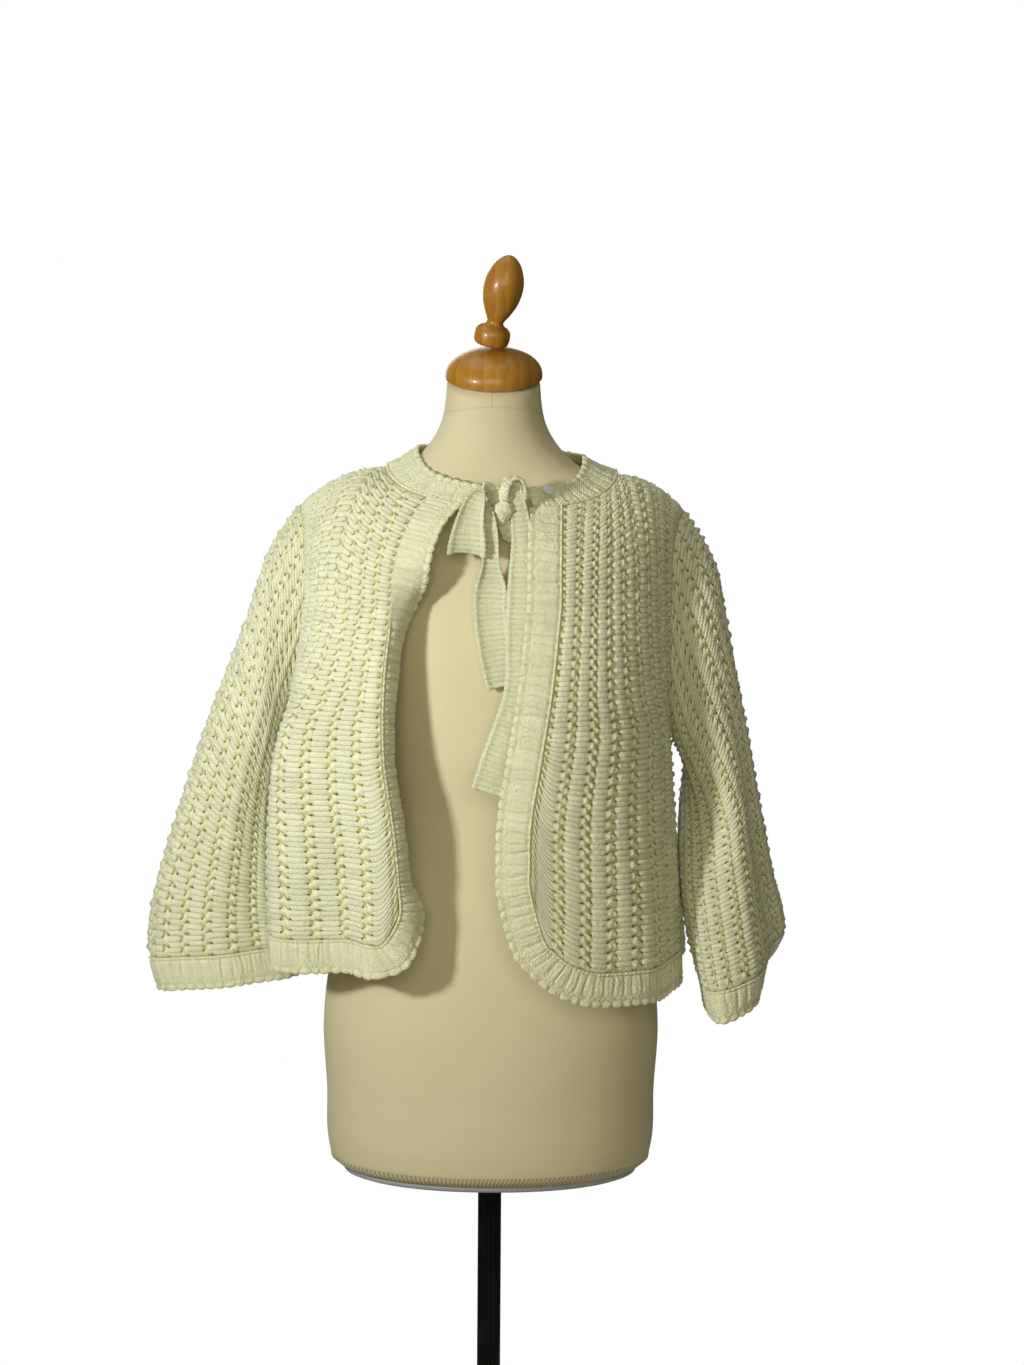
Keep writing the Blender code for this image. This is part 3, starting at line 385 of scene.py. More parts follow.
arms = {
    "blend": 0.12,
    "foldRun": 0.4,
    "fall": np.array([0.18, 0.0, -1.0]),
    "rows": (0.0, 0.12, 0.24, 0.38, 0.52, 0.64, 0.75, 0.85, 0.93, 1.0),
    "cuffRows": (1.0, 1.05, 1.1),
    "left": table(
        "run outerX outerY outerZ innerX innerY innerZ half",
        (0.00, -0.202, 0.000, 1.405, -0.205, 0.000, 1.180, 0.040),
        (0.10, -0.2290, 0.002, 1.364, -0.2220, 0.004, 1.156, 0.044),
        (0.25, -0.2600, 0.004, 1.276, -0.2290, 0.008, 1.120, 0.046),
        (0.45, -0.2985, 0.006, 1.176, -0.2310, 0.010, 1.072, 0.045),
        (0.65, -0.3300, 0.008, 1.080, -0.2260, 0.010, 1.022, 0.042),
        (0.85, -0.3570, 0.005, 0.985, -0.2180, 0.008, 0.972, 0.038),
        (1.00, -0.3610, 0.000, 0.926, -0.2110, 0.006, 0.940, 0.036),
        (1.10, -0.3530, -0.001, 0.892, -0.2070, 0.004, 0.907, 0.035),
    ),
    "right": table(
        "run outerX outerY outerZ innerX innerY innerZ half",
        (0.00, 0.198, 0.000, 1.402, 0.190, 0.000, 1.180, 0.040),
        (0.10, 0.2245, 0.002, 1.358, 0.1970, 0.002, 1.158, 0.042),
        (0.25, 0.2405, 0.008, 1.289, 0.2100, -0.003, 1.124, 0.043),
        (0.45, 0.2500, 0.017, 1.197, 0.2180, -0.024, 1.078, 0.041),
        (0.65, 0.2655, 0.030, 1.108, 0.2190, -0.062, 1.020, 0.038),
        (0.85, 0.2865, 0.040, 1.015, 0.2265, -0.090, 0.955, 0.035),
        (1.00, 0.3020, 0.040, 0.955, 0.2345, -0.100, 0.912, 0.031),
        (1.10, 0.2870, 0.030, 0.932, 0.2405, -0.103, 0.880, 0.024),
    ),
    "leftFolds": table(
        "turn depth width start",
        (60, -0.006, 24, 0.15), (118, -0.008, 20, 0.15), (250, -0.007, 26, 0.15),
        (300, 0.005, 24, 0.15),
    ),
    "rightFolds": table(
        "turn depth width start",
        (75, -0.013, 24, 0.15), (128, 0.006, 20, 0.10), (270, 0.014, 38, 0.48),
        (310, -0.004, 24, 0.30),
    ),
}

edging = {
    "curl": table(
        "height left right",
        (0.890, 0, 0), (0.965, 10, 0), (1.010, 76, 8), (1.080, 94, 12), (1.240, 92, 10),
        (1.305, 76, 9), (1.345, 20, 8), (1.420, 0, 0),
    ),
}


sides = {-1: "left", 1: "right"}


def read(sheet, column, at):
    # A column of a table, read at a value of its first column on a smooth curve through the rows.
    keys = next(iter(sheet.values()))
    values = sheet[column]
    slopes = np.gradient(values, keys)
    at = np.clip(at, keys[0], keys[-1])
    low = np.clip(np.searchsorted(keys, at) - 1, 0, len(keys) - 2)
    gap = keys[low + 1] - keys[low]
    u = (at - keys[low]) / gap
    bend = gap * u * (1 - u) * ((1 - u) * slopes[low] - u * slopes[low + 1])
    return values[low] * (1 - ease(u)) + values[low + 1] * ease(u) + bend


def spaced(points, count):
    # count + 1 points at even steps along a line of points.
    run = runAlong(points)
    return between(np.linspace(0, run[-1], count + 1), run, points)


def cutLine(points, start, end):
    # The stretch of a line between two fractional places, with as many points.
    return between(np.linspace(start, end, len(points)), np.arange(len(points)), points)


def bodyRing(height, turn):
    # Points of the body's inner face at a height, by the bearing from the front in degrees.
    radians = np.radians(turn)
    across, ahead = np.sin(radians), np.cos(radians)
    width = np.where(across < 0, read(body["sections"], "left", height), read(body["sections"], "right", height))
    depth = np.where(ahead > 0, read(body["sections"], "front", height), read(body["sections"], "back", height))
    x, y = width * squared(across, body["roundness"]), -depth * squared(ahead, body["roundness"])
    push = foldPush(body["folds"], turn, bodyFold, height)
    return np.stack([x + push * across, y - push * ahead, np.full_like(x, height)], axis=-1)


def foldPush(folds, turn, run, at):
    # How far folds stand out of a plain section; each grows over a run from its start.
    push = np.zeros_like(turn, float)
    for centre, depth, width, start in zip(*folds.values()):
        away = (turn - centre + 180) % 360 - 180
        push += depth * run(start, at) * bell(away, 0, width)
    return push


def bodyFold(start, height):
    return ease(np.clip((start - height) / body["foldRun"], 0, 1))


def sleeveFold(start, run):
    return np.clip((run - start) / arms["foldRun"], 0, 1)


def armholeHalf(height):
    # Half the armhole's width at a height: nothing under the arm, full at the yoke.
    share = np.clip((height - cut["underarm"]) / (cut["yokeHeight"] - cut["underarm"]), 0, 1)
    return cut["armholeHalf"] * math.sin(math.pi / 2 * share) ** 0.5


def frontSection(side, height, count):
    # A front's section at a height, from the side or the armhole to the edging's seam.
    turns = np.linspace(90, 4, 260) * side
    points = bodyRing(height, turns)
    reach = armholeHalf(height)
    first = np.interp(reach, -points[:, 1], np.arange(len(points)))
    edge = read(body["frontEdge"], sides[side], height)
    last = np.interp(-abs(edge), -np.abs(points[60:, 0]), np.arange(60, len(points)))
    return spaced(cutLine(points, first, last), count)


def backSection(height, count):
    # The back's section at a height, from the left armhole or side round to the right one.
    points = bodyRing(height, np.linspace(-90, -270, 480))
    reach = armholeHalf(height)
    half = len(points) // 2
    first = np.interp(reach, points[:half, 1], np.arange(half))
    last = len(points) - 1 - np.interp(reach, points[:half:-1, 1], np.arange(half - 1))
    return spaced(cutLine(points, first, last), count)


def frontBottom(side, column, columns):
    # The height where a front's column ends: the lower seam, which rises round the corner.
    section = frontSection(side, 1.0, columns)
    turn = math.degrees(math.atan2(section[column, 0], -section[column, 1]))
    plain = read(body["lowerSeam"], "height", turn)
    radius = cut[sides[side] + "Corner"]
    short = max(0.0, radius - runAlong(section[column:])[-1])
    return plain + radius - math.sqrt(radius**2 - short**2)


def necklinePoint(turn):
    # A point of the neckline by its bearing from the front; 180 is the back of the neck.
    radians = math.radians(turn)
    depth = neck["front"] if math.cos(radians) > 0 else neck["back"]
    x = neck["centre"][0] + neck["halfWidth"] * math.sin(radians)
    y = neck["centre"][1] - depth * math.cos(radians)
    return np.array([x, y, read(neck["line"], "height", (turn + 180) % 360 - 180)])


def shoulderSeam(side):
    # The shoulder seam from the shoulder's tip to the neckline, rising in a soft curve.
    tip = np.array(cut[sides[side] + "Tip"])
    root = necklinePoint(90 * side)
    share = np.linspace(0, 1, 2 * cut["shoulderRibs"] + 1)
    points = tip + np.outer(share, root - tip)
    points[:, 2] = tip[2] + (root[2] - tip[2]) * (1 - (1 - share) ** 2)
    return points


def yokePoint(low, top, share, tilt):
    # A point of the yoke between the chest and the shoulder, on a quarter of an ellipse.
    angle = math.radians(tilt) * share
    full = math.radians(tilt)
    inward = (1 - math.cos(angle)) / (1 - math.cos(full))
    upward = math.sin(angle) / math.sin(full)
    return np.array([*(low[:2] + (top[:2] - low[:2]) * inward), low[2] + (top[2] - low[2]) * upward])


def yoke(low, top, tilts):
    # The yoke's rows, from its top to the chest.
    shares = np.linspace(1, 0, cut["yokeRows"] + 1)
    return [
        np.array([yokePoint(low[j], top[j], share, tilts[j]) for j in range(len(top))])
        for share in shares[:-1]
    ]


def armholeHeights():
    # The heights of the rows between the yoke and the underarm.
    rows = cut["armholeRows"]
    return cut["yokeHeight"] + (cut["underarm"] - cut["yokeHeight"]) * np.arange(rows) / rows


def skirtHeights(bottoms):
    # The heights of the rows from the underarm to the lower seam, column by column.
    rows = cut["skirtRows"]
    return [cut["underarm"] + (bottoms - cut["underarm"]) * k / rows for k in range(rows + 1)]


def frontGrid(side):
    # A front's inner face: rows from the shoulder to the lower seam, columns from the side to the edge.
    columns, shoulder = 2 * cut[sides[side] + "Ribs"], 2 * cut["shoulderRibs"]
    turns = np.linspace(90 * side, neck[sides[side] + "Top"], columns - shoulder + 1)
    throat = [necklinePoint(turn) for turn in turns]
    top = np.concatenate([shoulderSeam(side), throat[1:]])
    away = np.clip((np.arange(columns + 1) - shoulder) / (columns - shoulder), 0, 1)
    tilts = cut["shoulderTilt"] + (cut["frontTilt"] - cut["shoulderTilt"]) * away
    rows = yoke(frontSection(side, cut["yokeHeight"], columns), top, tilts)
    rows += [frontSection(side, height, columns) for height in armholeHeights()]
    bottoms = np.array([frontBottom(side, j, columns) for j in range(columns + 1)])
    for heights in skirtHeights(bottoms):
        rows.append(np.array([frontSection(side, z, columns)[j] for j, z in enumerate(heights)]))
    return np.array(rows)


def backGrid():
    # The back's inner face: rows from the shoulders to the lower seam, columns from left to right.
    columns, shoulder = 2 * cut["backRibs"], 2 * cut["shoulderRibs"]
    half = (columns - 2 * shoulder) // 2
    throat = [necklinePoint(turn) for turn in np.linspace(-90, -180, half + 1)]
    throat += [necklinePoint(turn) for turn in np.linspace(180, 90, half + 1)][1:]
    top = np.concatenate([shoulderSeam(-1), throat[1:-1], shoulderSeam(1)[::-1]])
    fromSeam = np.minimum(np.arange(columns + 1), columns - np.arange(columns + 1)) - shoulder
    away = np.clip(fromSeam / 6, 0, 1)  # the tilt changes over three ribs
    tilts = cut["shoulderTilt"] + (cut["backTilt"] - cut["shoulderTilt"]) * away
    rows = yoke(backSection(cut["yokeHeight"], columns), top, tilts)
    rows += [backSection(height, columns) for height in armholeHeights()]
    bottoms = read(body["lowerSeam"], "height", np.linspace(-90, -270, columns + 1))
    bottoms[-1] = read(body["lowerSeam"], "height", 90.0)
    for heights in skirtHeights(bottoms):
        rows.append(np.array([backSection(z, columns)[j] for j, z in enumerate(heights)]))
    return np.array(rows)


def armholeRing(front, back, side):
    # The armhole's points from the shoulder tip down the front and up the back, with their midpoints.
    rows = cut["yokeRows"] + cut["armholeRows"] + 1
    down = front[:rows, 0]
    up = back[:rows, 0 if side < 0 else -1][::-1]
    loop = np.concatenate([down, up[1:-1]])
    ring = np.empty((2 * len(loop), 3))
    ring[0::2] = loop
    ring[1::2] = (loop + np.roll(loop, -1, axis=0)) / 2
    return ring


def sleeveRing(run, side, count):
    # A ring of a sleeve: a flattened tube between its outer and inner fold lines, with soft folds.
    sheet = arms[sides[side]]
    outer, inner = (np.array([read(sheet, edge + axis, run) for axis in "XYZ"]) for edge in ("outer", "inner"))
    long = (outer - inner) / 2
    flat = unit(np.cross(arms["fall"] * (side, 1, 1), long) * side)
    turn = np.arange(count) * 360 / count
    push = foldPush(arms[sides[side] + "Folds"], turn, sleeveFold, run)
    radians = np.radians(turn)
    half = read(sheet, "half", run) * np.sin(radians) + push * np.sign(np.sin(radians))
    return (outer + inner) / 2 + np.outer(np.cos(radians), long) + np.outer(half, flat)


def sleeveGrid(runs, side, armhole):
    # Rings from the armhole down; the first rings turn from the armhole's shape into the tube's.
    shares = [ease(min(1.0, run / arms["blend"])) for run in runs]
    tubes = [sleeveRing(run, side, len(armhole)) for run in runs]
    return np.array([armhole * (1 - share) + tube * share for share, tube in zip(shares, tubes)])


def edgingPath(left, back, right):
    # The panels' free edge: down the left front, round the hem and up the right front.
    return np.concatenate([
        left[:, -1],
        left[-1, -2::-1],
        back[-1, 1:],
        right[-1, 1:],
        right[-2::-1, -1],
    ])


def edgingGrid(path, normals, edgeRows):
    # The crochet edging: three lines of points, from the panels' edge outwards.
    tangents = np.gradient(path, axis=0)
    tangents[1:-1] = tangents[:-2] + tangents[1:-1] * 2 + tangents[2:]
    outward = unit(np.cross(normals, tangents))
    count = len(path)
    lines = [path, path.copy(), path.copy()]
    for k in range(count):
        onLeft, onRight = k < edgeRows + 2, k > count - edgeRows - 5
        name = "left" if onLeft else "right"
        curl = math.radians(read(edging["curl"], name, path[k, 2])) if onLeft or onRight else 0.0
        for line, share in ((1, 0.5), (2, 1.0)):
            bend = curl * (0.6 + 0.4 * share)
            way = outward[k] * math.cos(bend) - normals[k] * math.sin(bend)
            lines[line][k] = path[k] + way * cut["bandWidth"] * share
    for k, start, turn in ((0, neck["leftTop"], neck["leftEdge"]), (-1, neck["rightTop"], neck["rightEdge"])):
        lines[1][k] = necklinePoint((start + turn) / 2)
        lines[2][k] = necklinePoint(turn)
    return np.array(lines)


def neckbandGrid(left, back, right):
    # The neckband: its lower line is the panels' neckline, and it leans in towards the neck.
    shoulder = 2 * cut["shoulderRibs"]
    leftTurns = [neck["leftEnd"], neck["leftEdge"], (neck["leftTop"] + neck["leftEdge"]) / 2]
    rightTurns = [(neck["rightTop"] + neck["rightEdge"]) / 2, neck["rightEnd"]]
    lower = np.array([
        *(necklinePoint(turn) for turn in leftTurns),
        *left[0, :shoulder - 1:-1],
        *back[0, shoulder + 1:-shoulder - 1],
        *right[0, shoulder:],
        *(necklinePoint(turn) for turn in rightTurns),
    ])
    off = (lower - (*neck["centre"], 0)) * (1, 1, 0)
    turn = np.degrees(np.arctan2(off[:, 0] / neck["halfWidth"], -off[:, 1] / neck["front"]))
    rise = -unit(off) * read(neck["rise"], "inward", turn)[:, None]
    rise[:, 2] = read(neck["rise"], "upward", turn)
    bulge = unit(np.cross(np.gradient(lower, axis=0), rise))
    return np.array([lower, lower + rise * 0.5 + bulge * neck["bulge"], lower + rise])


def faceNormals(grid, closed):
    # The normals of a grid's faces, summed at its points.
    wide = np.concatenate([grid, grid[:, :1]], axis=1) if closed else grid
    normals = np.cross(wide[1:, 1:] - wide[:-1, :-1], wide[1:, :-1] - wide[:-1, 1:])
    sums = np.zeros_like(wide)
    halves = (slice(0, -1), slice(1, None))
    for rows in halves:
        for columns in halves:
            sums[rows, columns] += normals
    if closed:
        sums[:, 0] += sums[:, -1]
    return sums[:, :grid.shape[1]]


def sharedNormals(pieces):
    # One outward direction for each place, halfway between the sleeves and all that meets them there.
    # Places are matched to a fifth of a millimetre.
    places, keys = {}, {}
    for name, (grid, closed, flip) in pieces.items():
        sums = unit(faceNormals(grid, closed)) * (-1 if flip else 1)
        keys[name] = [tuple(place) for place in np.round(grid * 5000).astype(int).reshape(-1, 3)]
        ofSleeve = int(name.startswith("sleeve"))
        for place, normal in zip(keys[name], sums.reshape(-1, 3)):
            places.setdefault(place, np.zeros((2, 3)))[ofSleeve] += normal
    found = {}
    for name, (grid, _, _) in pieces.items():
        halves = unit(np.array([places[place] for place in keys[name]]))
        found[name] = unit(halves.sum(axis=1)).reshape(grid.shape)
    return found


# Points between a grid's own points


def readRows(grid, place):
    # Points of a grid at fractional rows, each column with its own, on smooth curves.
    padded = np.concatenate([2 * grid[:1] - grid[1:2], grid, 2 * grid[-1:] - grid[-2:-1]])
    low = np.clip(place.astype(int), 0, len(grid) - 2)
    t = (place - low)[..., None]
    columns = np.arange(grid.shape[1])
    a, b, c, d = (padded[low + k, columns] for k in range(4))
    return b + 0.5 * t * (c - a + t * (2 * a - 5 * b + 4 * c - d + t * (3 * (b - c) + d - a)))


def readColumns(grid, places, closed):
    # The grid's columns at fractional places; a closed grid goes on round past its last one.
    if closed:
        grid = np.concatenate([grid[:, -1:], grid, grid[:, :2]], axis=1)
        places = places + 1
    turned = grid.transpose(1, 0, 2)
    return readRows(turned, np.repeat(places[:, None], len(grid), axis=1)).transpose(1, 0, 2)


def rowPlaces(grid, shares):
    # The fractional rows that lie at the given shares of each column's length.
    dense = np.linspace(0, len(grid) - 1, 8 * (len(grid) - 1) + 1)
    points = readRows(grid, np.repeat(dense[:, None], grid.shape[1], axis=1))
    run = runAlong(points)
    places = [np.interp(shares[:, j] * run[-1, j], run[:, j], dense) for j in range(grid.shape[1])]
    return np.stack(places, axis=1)


def repeated(lines, count):
    # The same few places in each of a row of stitches, and the last stitch's end.
    return np.concatenate([[k + line for line in lines] for k in range(count)] + [[count]])


# Cloth walls


def clothWall(name, inner, outer, closed, places, lift, tone, ribbed, holes=()):
    # A Blender grid, laid on the inner points and extruded to the outer ones.
    # places are the stitch counts of its columns and rows, which become its UV map.
    rows, columns = inner.shape[:2]
    shape = bmesh.new()
    shape.loops.layers.uv.new("weave")
    bmesh.ops.create_grid(shape, x_segments=columns - 1, y_segments=rows - 1, size=1, calc_uvs=True)
    number = shape.verts.layers.int.new("number")
    for index, vertex in enumerate(shape.verts):
        vertex[number] = index
    shape.verts.ensure_lookup_table()
    shape.faces.ensure_lookup_table()
    gone = [shape.faces[index] for index in holes]
    if gone:
        bmesh.ops.delete(shape, geom=gone, context="FACES_ONLY")
        shape.verts.ensure_lookup_table()
    if closed:
        first, last = range(0, rows * columns, columns), range(columns - 1, rows * columns, columns)
        seam = {shape.verts[b]: shape.verts[a] for a, b in zip(first, last)}
        bmesh.ops.weld_verts(shape, targetmap=seam)
    side = shape.verts.layers.int.new("side")  # 0 for the inner wall, 1 for the outer
    raised = bmesh.ops.extrude_face_region(shape, geom=shape.faces[:], use_keep_orig=True)
    for item in raised["geom"]:
        if isinstance(item, bmesh.types.BMVert):
            item[side] = 1
    mesh = meshFrom(name, shape)
    count = len(mesh.vertices)
    numbers, walls = np.zeros(count, int), np.zeros(count, int)
    mesh.attributes["number"].data.foreach_get("value", numbers)
    mesh.attributes["side"].data.foreach_get("value", walls)
    flat = np.stack([inner.reshape(-1, 3), outer.reshape(-1, 3)])
    mesh.vertices.foreach_set("co", flat[walls, numbers].ravel())
    for attribute, values in (("lift", lift), ("tone", tone), ("ribbed", np.full_like(lift, ribbed))):
        setValues(mesh, attribute, values.ravel()[numbers])
    for attribute in ("number", "side"):
        mesh.attributes.remove(mesh.attributes[attribute])
    spread = np.zeros(2 * len(mesh.loops))
    weave = mesh.uv_layers["weave"].data
    weave.foreach_get("uv", spread)
    spread = spread.reshape(-1, 2) * (columns - 1, rows - 1)
    for axis in range(2):
        spread[:, axis] = np.interp(spread[:, axis], np.arange(len(places[axis])), places[axis])
    weave.foreach_set("uv", spread.ravel())
    return newPiece(name, turnOutwards(mesh))


def setValues(mesh, name, values):
    mesh.attributes.new(name, "FLOAT", "POINT").data.foreach_set("value", values)


def turnOutwards(mesh):
    shape = bmesh.new()
    shape.from_mesh(mesh)
    bmesh.ops.recalc_face_normals(shape, faces=shape.faces)
    shape.to_mesh(mesh)
    shape.free()
    return mesh


def newPiece(name, mesh):
    mesh.polygons.foreach_set("use_smooth", [True] * len(mesh.polygons))
    return linked(name, mesh)


def dress(piece, finish, slot, *nodes):
    # The piece's material, and the CAD nodes that it stands for, which it hides. The slot is not used.
    piece.data.materials.append(finish.material)
    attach(piece, "root")
    if nodes:
        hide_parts(*nodes)
    return piece


# The yarn

wool = {
    # stops: colour by the stitch's height share (lift), darker and yellower where it is low: painted shade in the
    # valleys
    "stops": [
        (0.0, (0.50, 0.46, 0.19)),
        (0.25, (0.77, 0.75, 0.42)),
        (0.6, (0.84, 0.84, 0.56)),
        (1.0, (0.87, 0.87, 0.61)),
    ],
    # deep: the colour of painted shade in the creases and pits; pits places the pits, and pit and crease set how
    # strongly each is shaded
    "deep": (0.16, 0.14, 0.045),
    "pits": table("across along wide tall", (0.17, 0.95, 0.06, 0.12), (0.83, 0.46, 0.055, 0.10)),
    "pit": 0.95,
    "crease": 0.32,
    "wander": 0.10,
    "least": 0.84,
    # brightness from each part: patch, stitch and nap are the yarn's own tone; plies and bead add painted
    # highlights, and loop, taken off, is painted shade between the small loops
    "bright": {"patch": 0.12, "stitch": 0.12, "plies": 0.14, "nap": 0.16, "bead": 0.09, "loop": -0.16},
    "sheen": {"Sheen_Weight": 0.4, "Sheen_Roughness": 0.5, "Sheen_Tint": (1.0, 1.0, 0.84, 1.0)},
    "glow": {
        "Subsurface_Weight": 0.35,
        "Subsurface_Radius": (1.0, 0.95, 0.5),
        "Subsurface_Scale": 0.004,
    },
}


def makeYarn():
    # wool in stitches: plies, loops and a soft nap, with painted light: painted shade in the valleys by the
    # stitches' height, and in creases and pits drawn finer than the mesh; painted highlights on the beads and
    # plies; painted shade between the small loops
    finish = Finish("lemonWool", Roughness=0.88, Specular_IOR_Level=0.2, **wool["sheen"], **wool["glow"])
    weave = finish.node("ShaderNodeUVMap", {"uv_map": "weave"})
    place = finish.place()
    lift, tone, ribbed = (finish.attribute(name) for name in ("lift", "tone", "ribbed"))
    wander = wool["wander"] * (finish.noise(place, 160.0) - 0.5)
    across, along = ((finish.axis(weave, axis) + wander).fraction() for axis in (0, 1))
    fromMiddle = abs(across - 0.5)
    # painted shade: a thin dark line in the creases across each stitch, and dark spots in its pits
    crease = finish.step(abs((2 * along + 0.5).fraction() - 0.5), 0.16, 0.02)
    crease = crease * finish.step(fromMiddle, 0.38, 0.28)
    upper, lower = (finish.spot(across, along, *pit) for pit in zip(*wool["pits"].values()))
    dark = ribbed * (crease * wool["crease"] + (upper + lower) * wool["pit"])
    # painted highlight: the columns of beads at each rib's sides are made lighter
    beads = ribbed * finish.step(fromMiddle, 0.34, 0.42)
    # painted shade: the lower the stitch's surface (lift), the darker and yellower its colour
    depth = finish.node("ShaderNodeValToRGB", {"stops": wool["stops"]}, {"Fac": lift})
    # the painted crease and pit shade is mixed over the height shade
    deep = finish.mix(finish.node("ShaderNodeClamp", sockets={0: dark}), depth, rgb(*wool["deep"]))
    # plies: the strands' twist, raised as a bump; lightening the colour along them is a painted highlight on the
    # strands
    turned = {"Vector": weave, "Scale": (15.0, 5.0, 1.0), "Rotation": (0, 0, 0.5)}
    turned = finish.node("ShaderNodeMapping", sockets=turned)
    plies = finish.bands("SIN", "Y", Vector=turned, Scale=0.32, Distortion=3.5, Detail=3.0)
    nap = finish.noise(place, 700.0, 4.0)
    # loops: small cells raised in the middle by the bump; their colour darkens towards their edges as painted shade
    # in the hollows between them
    cells = {"Vector": place, "Scale": 430.0, "Smoothness": 0.35}
    loops = finish.node("ShaderNodeTexVoronoi", {"feature": "SMOOTH_F1"}, cells)
    patch = finish.noise(place, 9.0)
    parts = {"patch": patch, "stitch": tone, "plies": plies, "nap": nap, "bead": beads, "loop": loops}
    bright = wool["least"]
    for name, part in parts.items():
        bright = bright + wool["bright"][name] * part
    shade = finish.node("ShaderNodeCombineColor", sockets={0: bright, 1: bright, 2: bright})
    finish.feed("Base Color", finish.node("ShaderNodeVectorMath", {"operation": "MULTIPLY"}, {0: deep, 1: shade}))
    normal = None
    for height, distance, strength in (
        (nap, 0.0008, 0.9),
        (1 - loops, 0.0011, 0.7),
        (plies, 0.0006, 0.6),
        (1 - dark, 0.0009, 0.8),
    ):
        normal = finish.bump(height, distance, strength, normal)
    finish.feed("Normal", normal)
    return finish


yarn = makeYarn()


# Ribs of stitches on the panels and sleeves: places and halves are shares of a stitch, heights metres

ribs = {
    "stitch": 0.0108,
    "valley": 0.0017,
    "roll": 0.0046,
    "rollHalf": 0.325,
    "creases": (0.75, 0.6),
    "creaseMiddle": 0.5,
    "beads": table("across along half height", (0.09, 0.36, 0.34, 0.0043), (0.905, 0.66, 0.28, 0.0037)),
    "beadWidth": 0.085,
    "pits": table("across along", (0.17, 0.96), (0.82, 0.47)),
    "pitDepth": 0.9,
    "pitHalf": (0.05, 0.13),
    "inside": 0.35,
    "shift": 0.32,
    "drift": 0.05,
    "settle": 1.6,
    "border": (0.25, 0.5, 0.2),
    "uneven": 0.12,
    "beadSizes": (0.75, 1.15),
    "holes": 0.8,
}
inset = 0.0003
liftPower = 0.6

# places across a rib, and along a stitch, where the mesh has its lines
evenly = (0, 0.13, 0.37, 0.5, 0.63, 0.87)
fineStitch = {"across": (0, 0.085, 0.16, 0.24, 0.33, 0.42, 0.5, 0.58, 0.67, 0.76, 0.84, 0.915), "along": evenly}
plainStitch = {"across": (0, 0.085, 0.17, 0.3, 0.5, 0.7, 0.83, 0.915), "along": evenly}
coarseStitch = {"across": (0, 0.085, 0.18, 0.34, 0.5, 0.66, 0.82, 0.915), "along": (0, 0.25, 0.5, 0.75)}


def stitchHeights(across, along, random):
    # The height of the stitches over the cloth's inner face, and a tone for each stitch.
    ribCount, count = math.ceil(across[-1]), math.ceil(along[-1])
    rib = np.minimum(across.astype(int), ribCount - 1)
    stitch = np.minimum(along.astype(int), count - 1)

    def perStitch(low, high):
        return random.uniform(low, high, (count, ribCount))[stitch][:, rib]

    p, q = (across - np.floor(across))[None, :], (along - np.floor(along))[:, None]
    size = perStitch(1 - ribs["uneven"], 1 + ribs["uneven"])
    beadSize = perStitch(*ribs["beadSizes"])
    off = (p - 0.5) / ribs["rollHalf"]
    roll = np.sqrt(np.clip(1 - off**4, 0, 1))
    deep = ribs["creaseMiddle"] + (1 - ribs["creaseMiddle"]) * np.clip(off**2, 0, 1)
    dip = 1 - arch(2 * q, 0.5)
    dip = dip * np.where(np.abs(q - 0.5) < 0.25, ribs["creases"][1], ribs["creases"][0])
    height = (ribs["roll"] - ribs["valley"]) * roll * size * (1 - deep * dip)
    for x, y, half, rise in zip(*ribs["beads"].values()):
        bead = np.sqrt(np.clip(1 - (wrapped(q - y) / half) ** 2, 0, 1)) * bell(p, x, ribs["beadWidth"])
        height = np.maximum(height, rise * bead * beadSize)
    wide, tall = ribs["pitHalf"]
    for x, y in zip(*ribs["pits"].values()):
        height = height * (1 - ribs["pitDepth"] * bell(p, x, wide) * bell(wrapped(q - y), 0, tall))
    return height, perStitch(0, 1)


def stitchHoles(across, ribCount, count, look, random):
    # The grid's faces that are left open: one small hole at the end of most stitches.
    columns, wide, tall = len(across) - 1, len(look["across"]), len(look["along"])
    found = []
    for stitch in range(1, count - 2):
        for rib in range(1, ribCount - 1):
            if random.random() < ribs["holes"]:
                found.append((stitch * tall + tall - 1) * columns + rib * wide + 1)
    return found


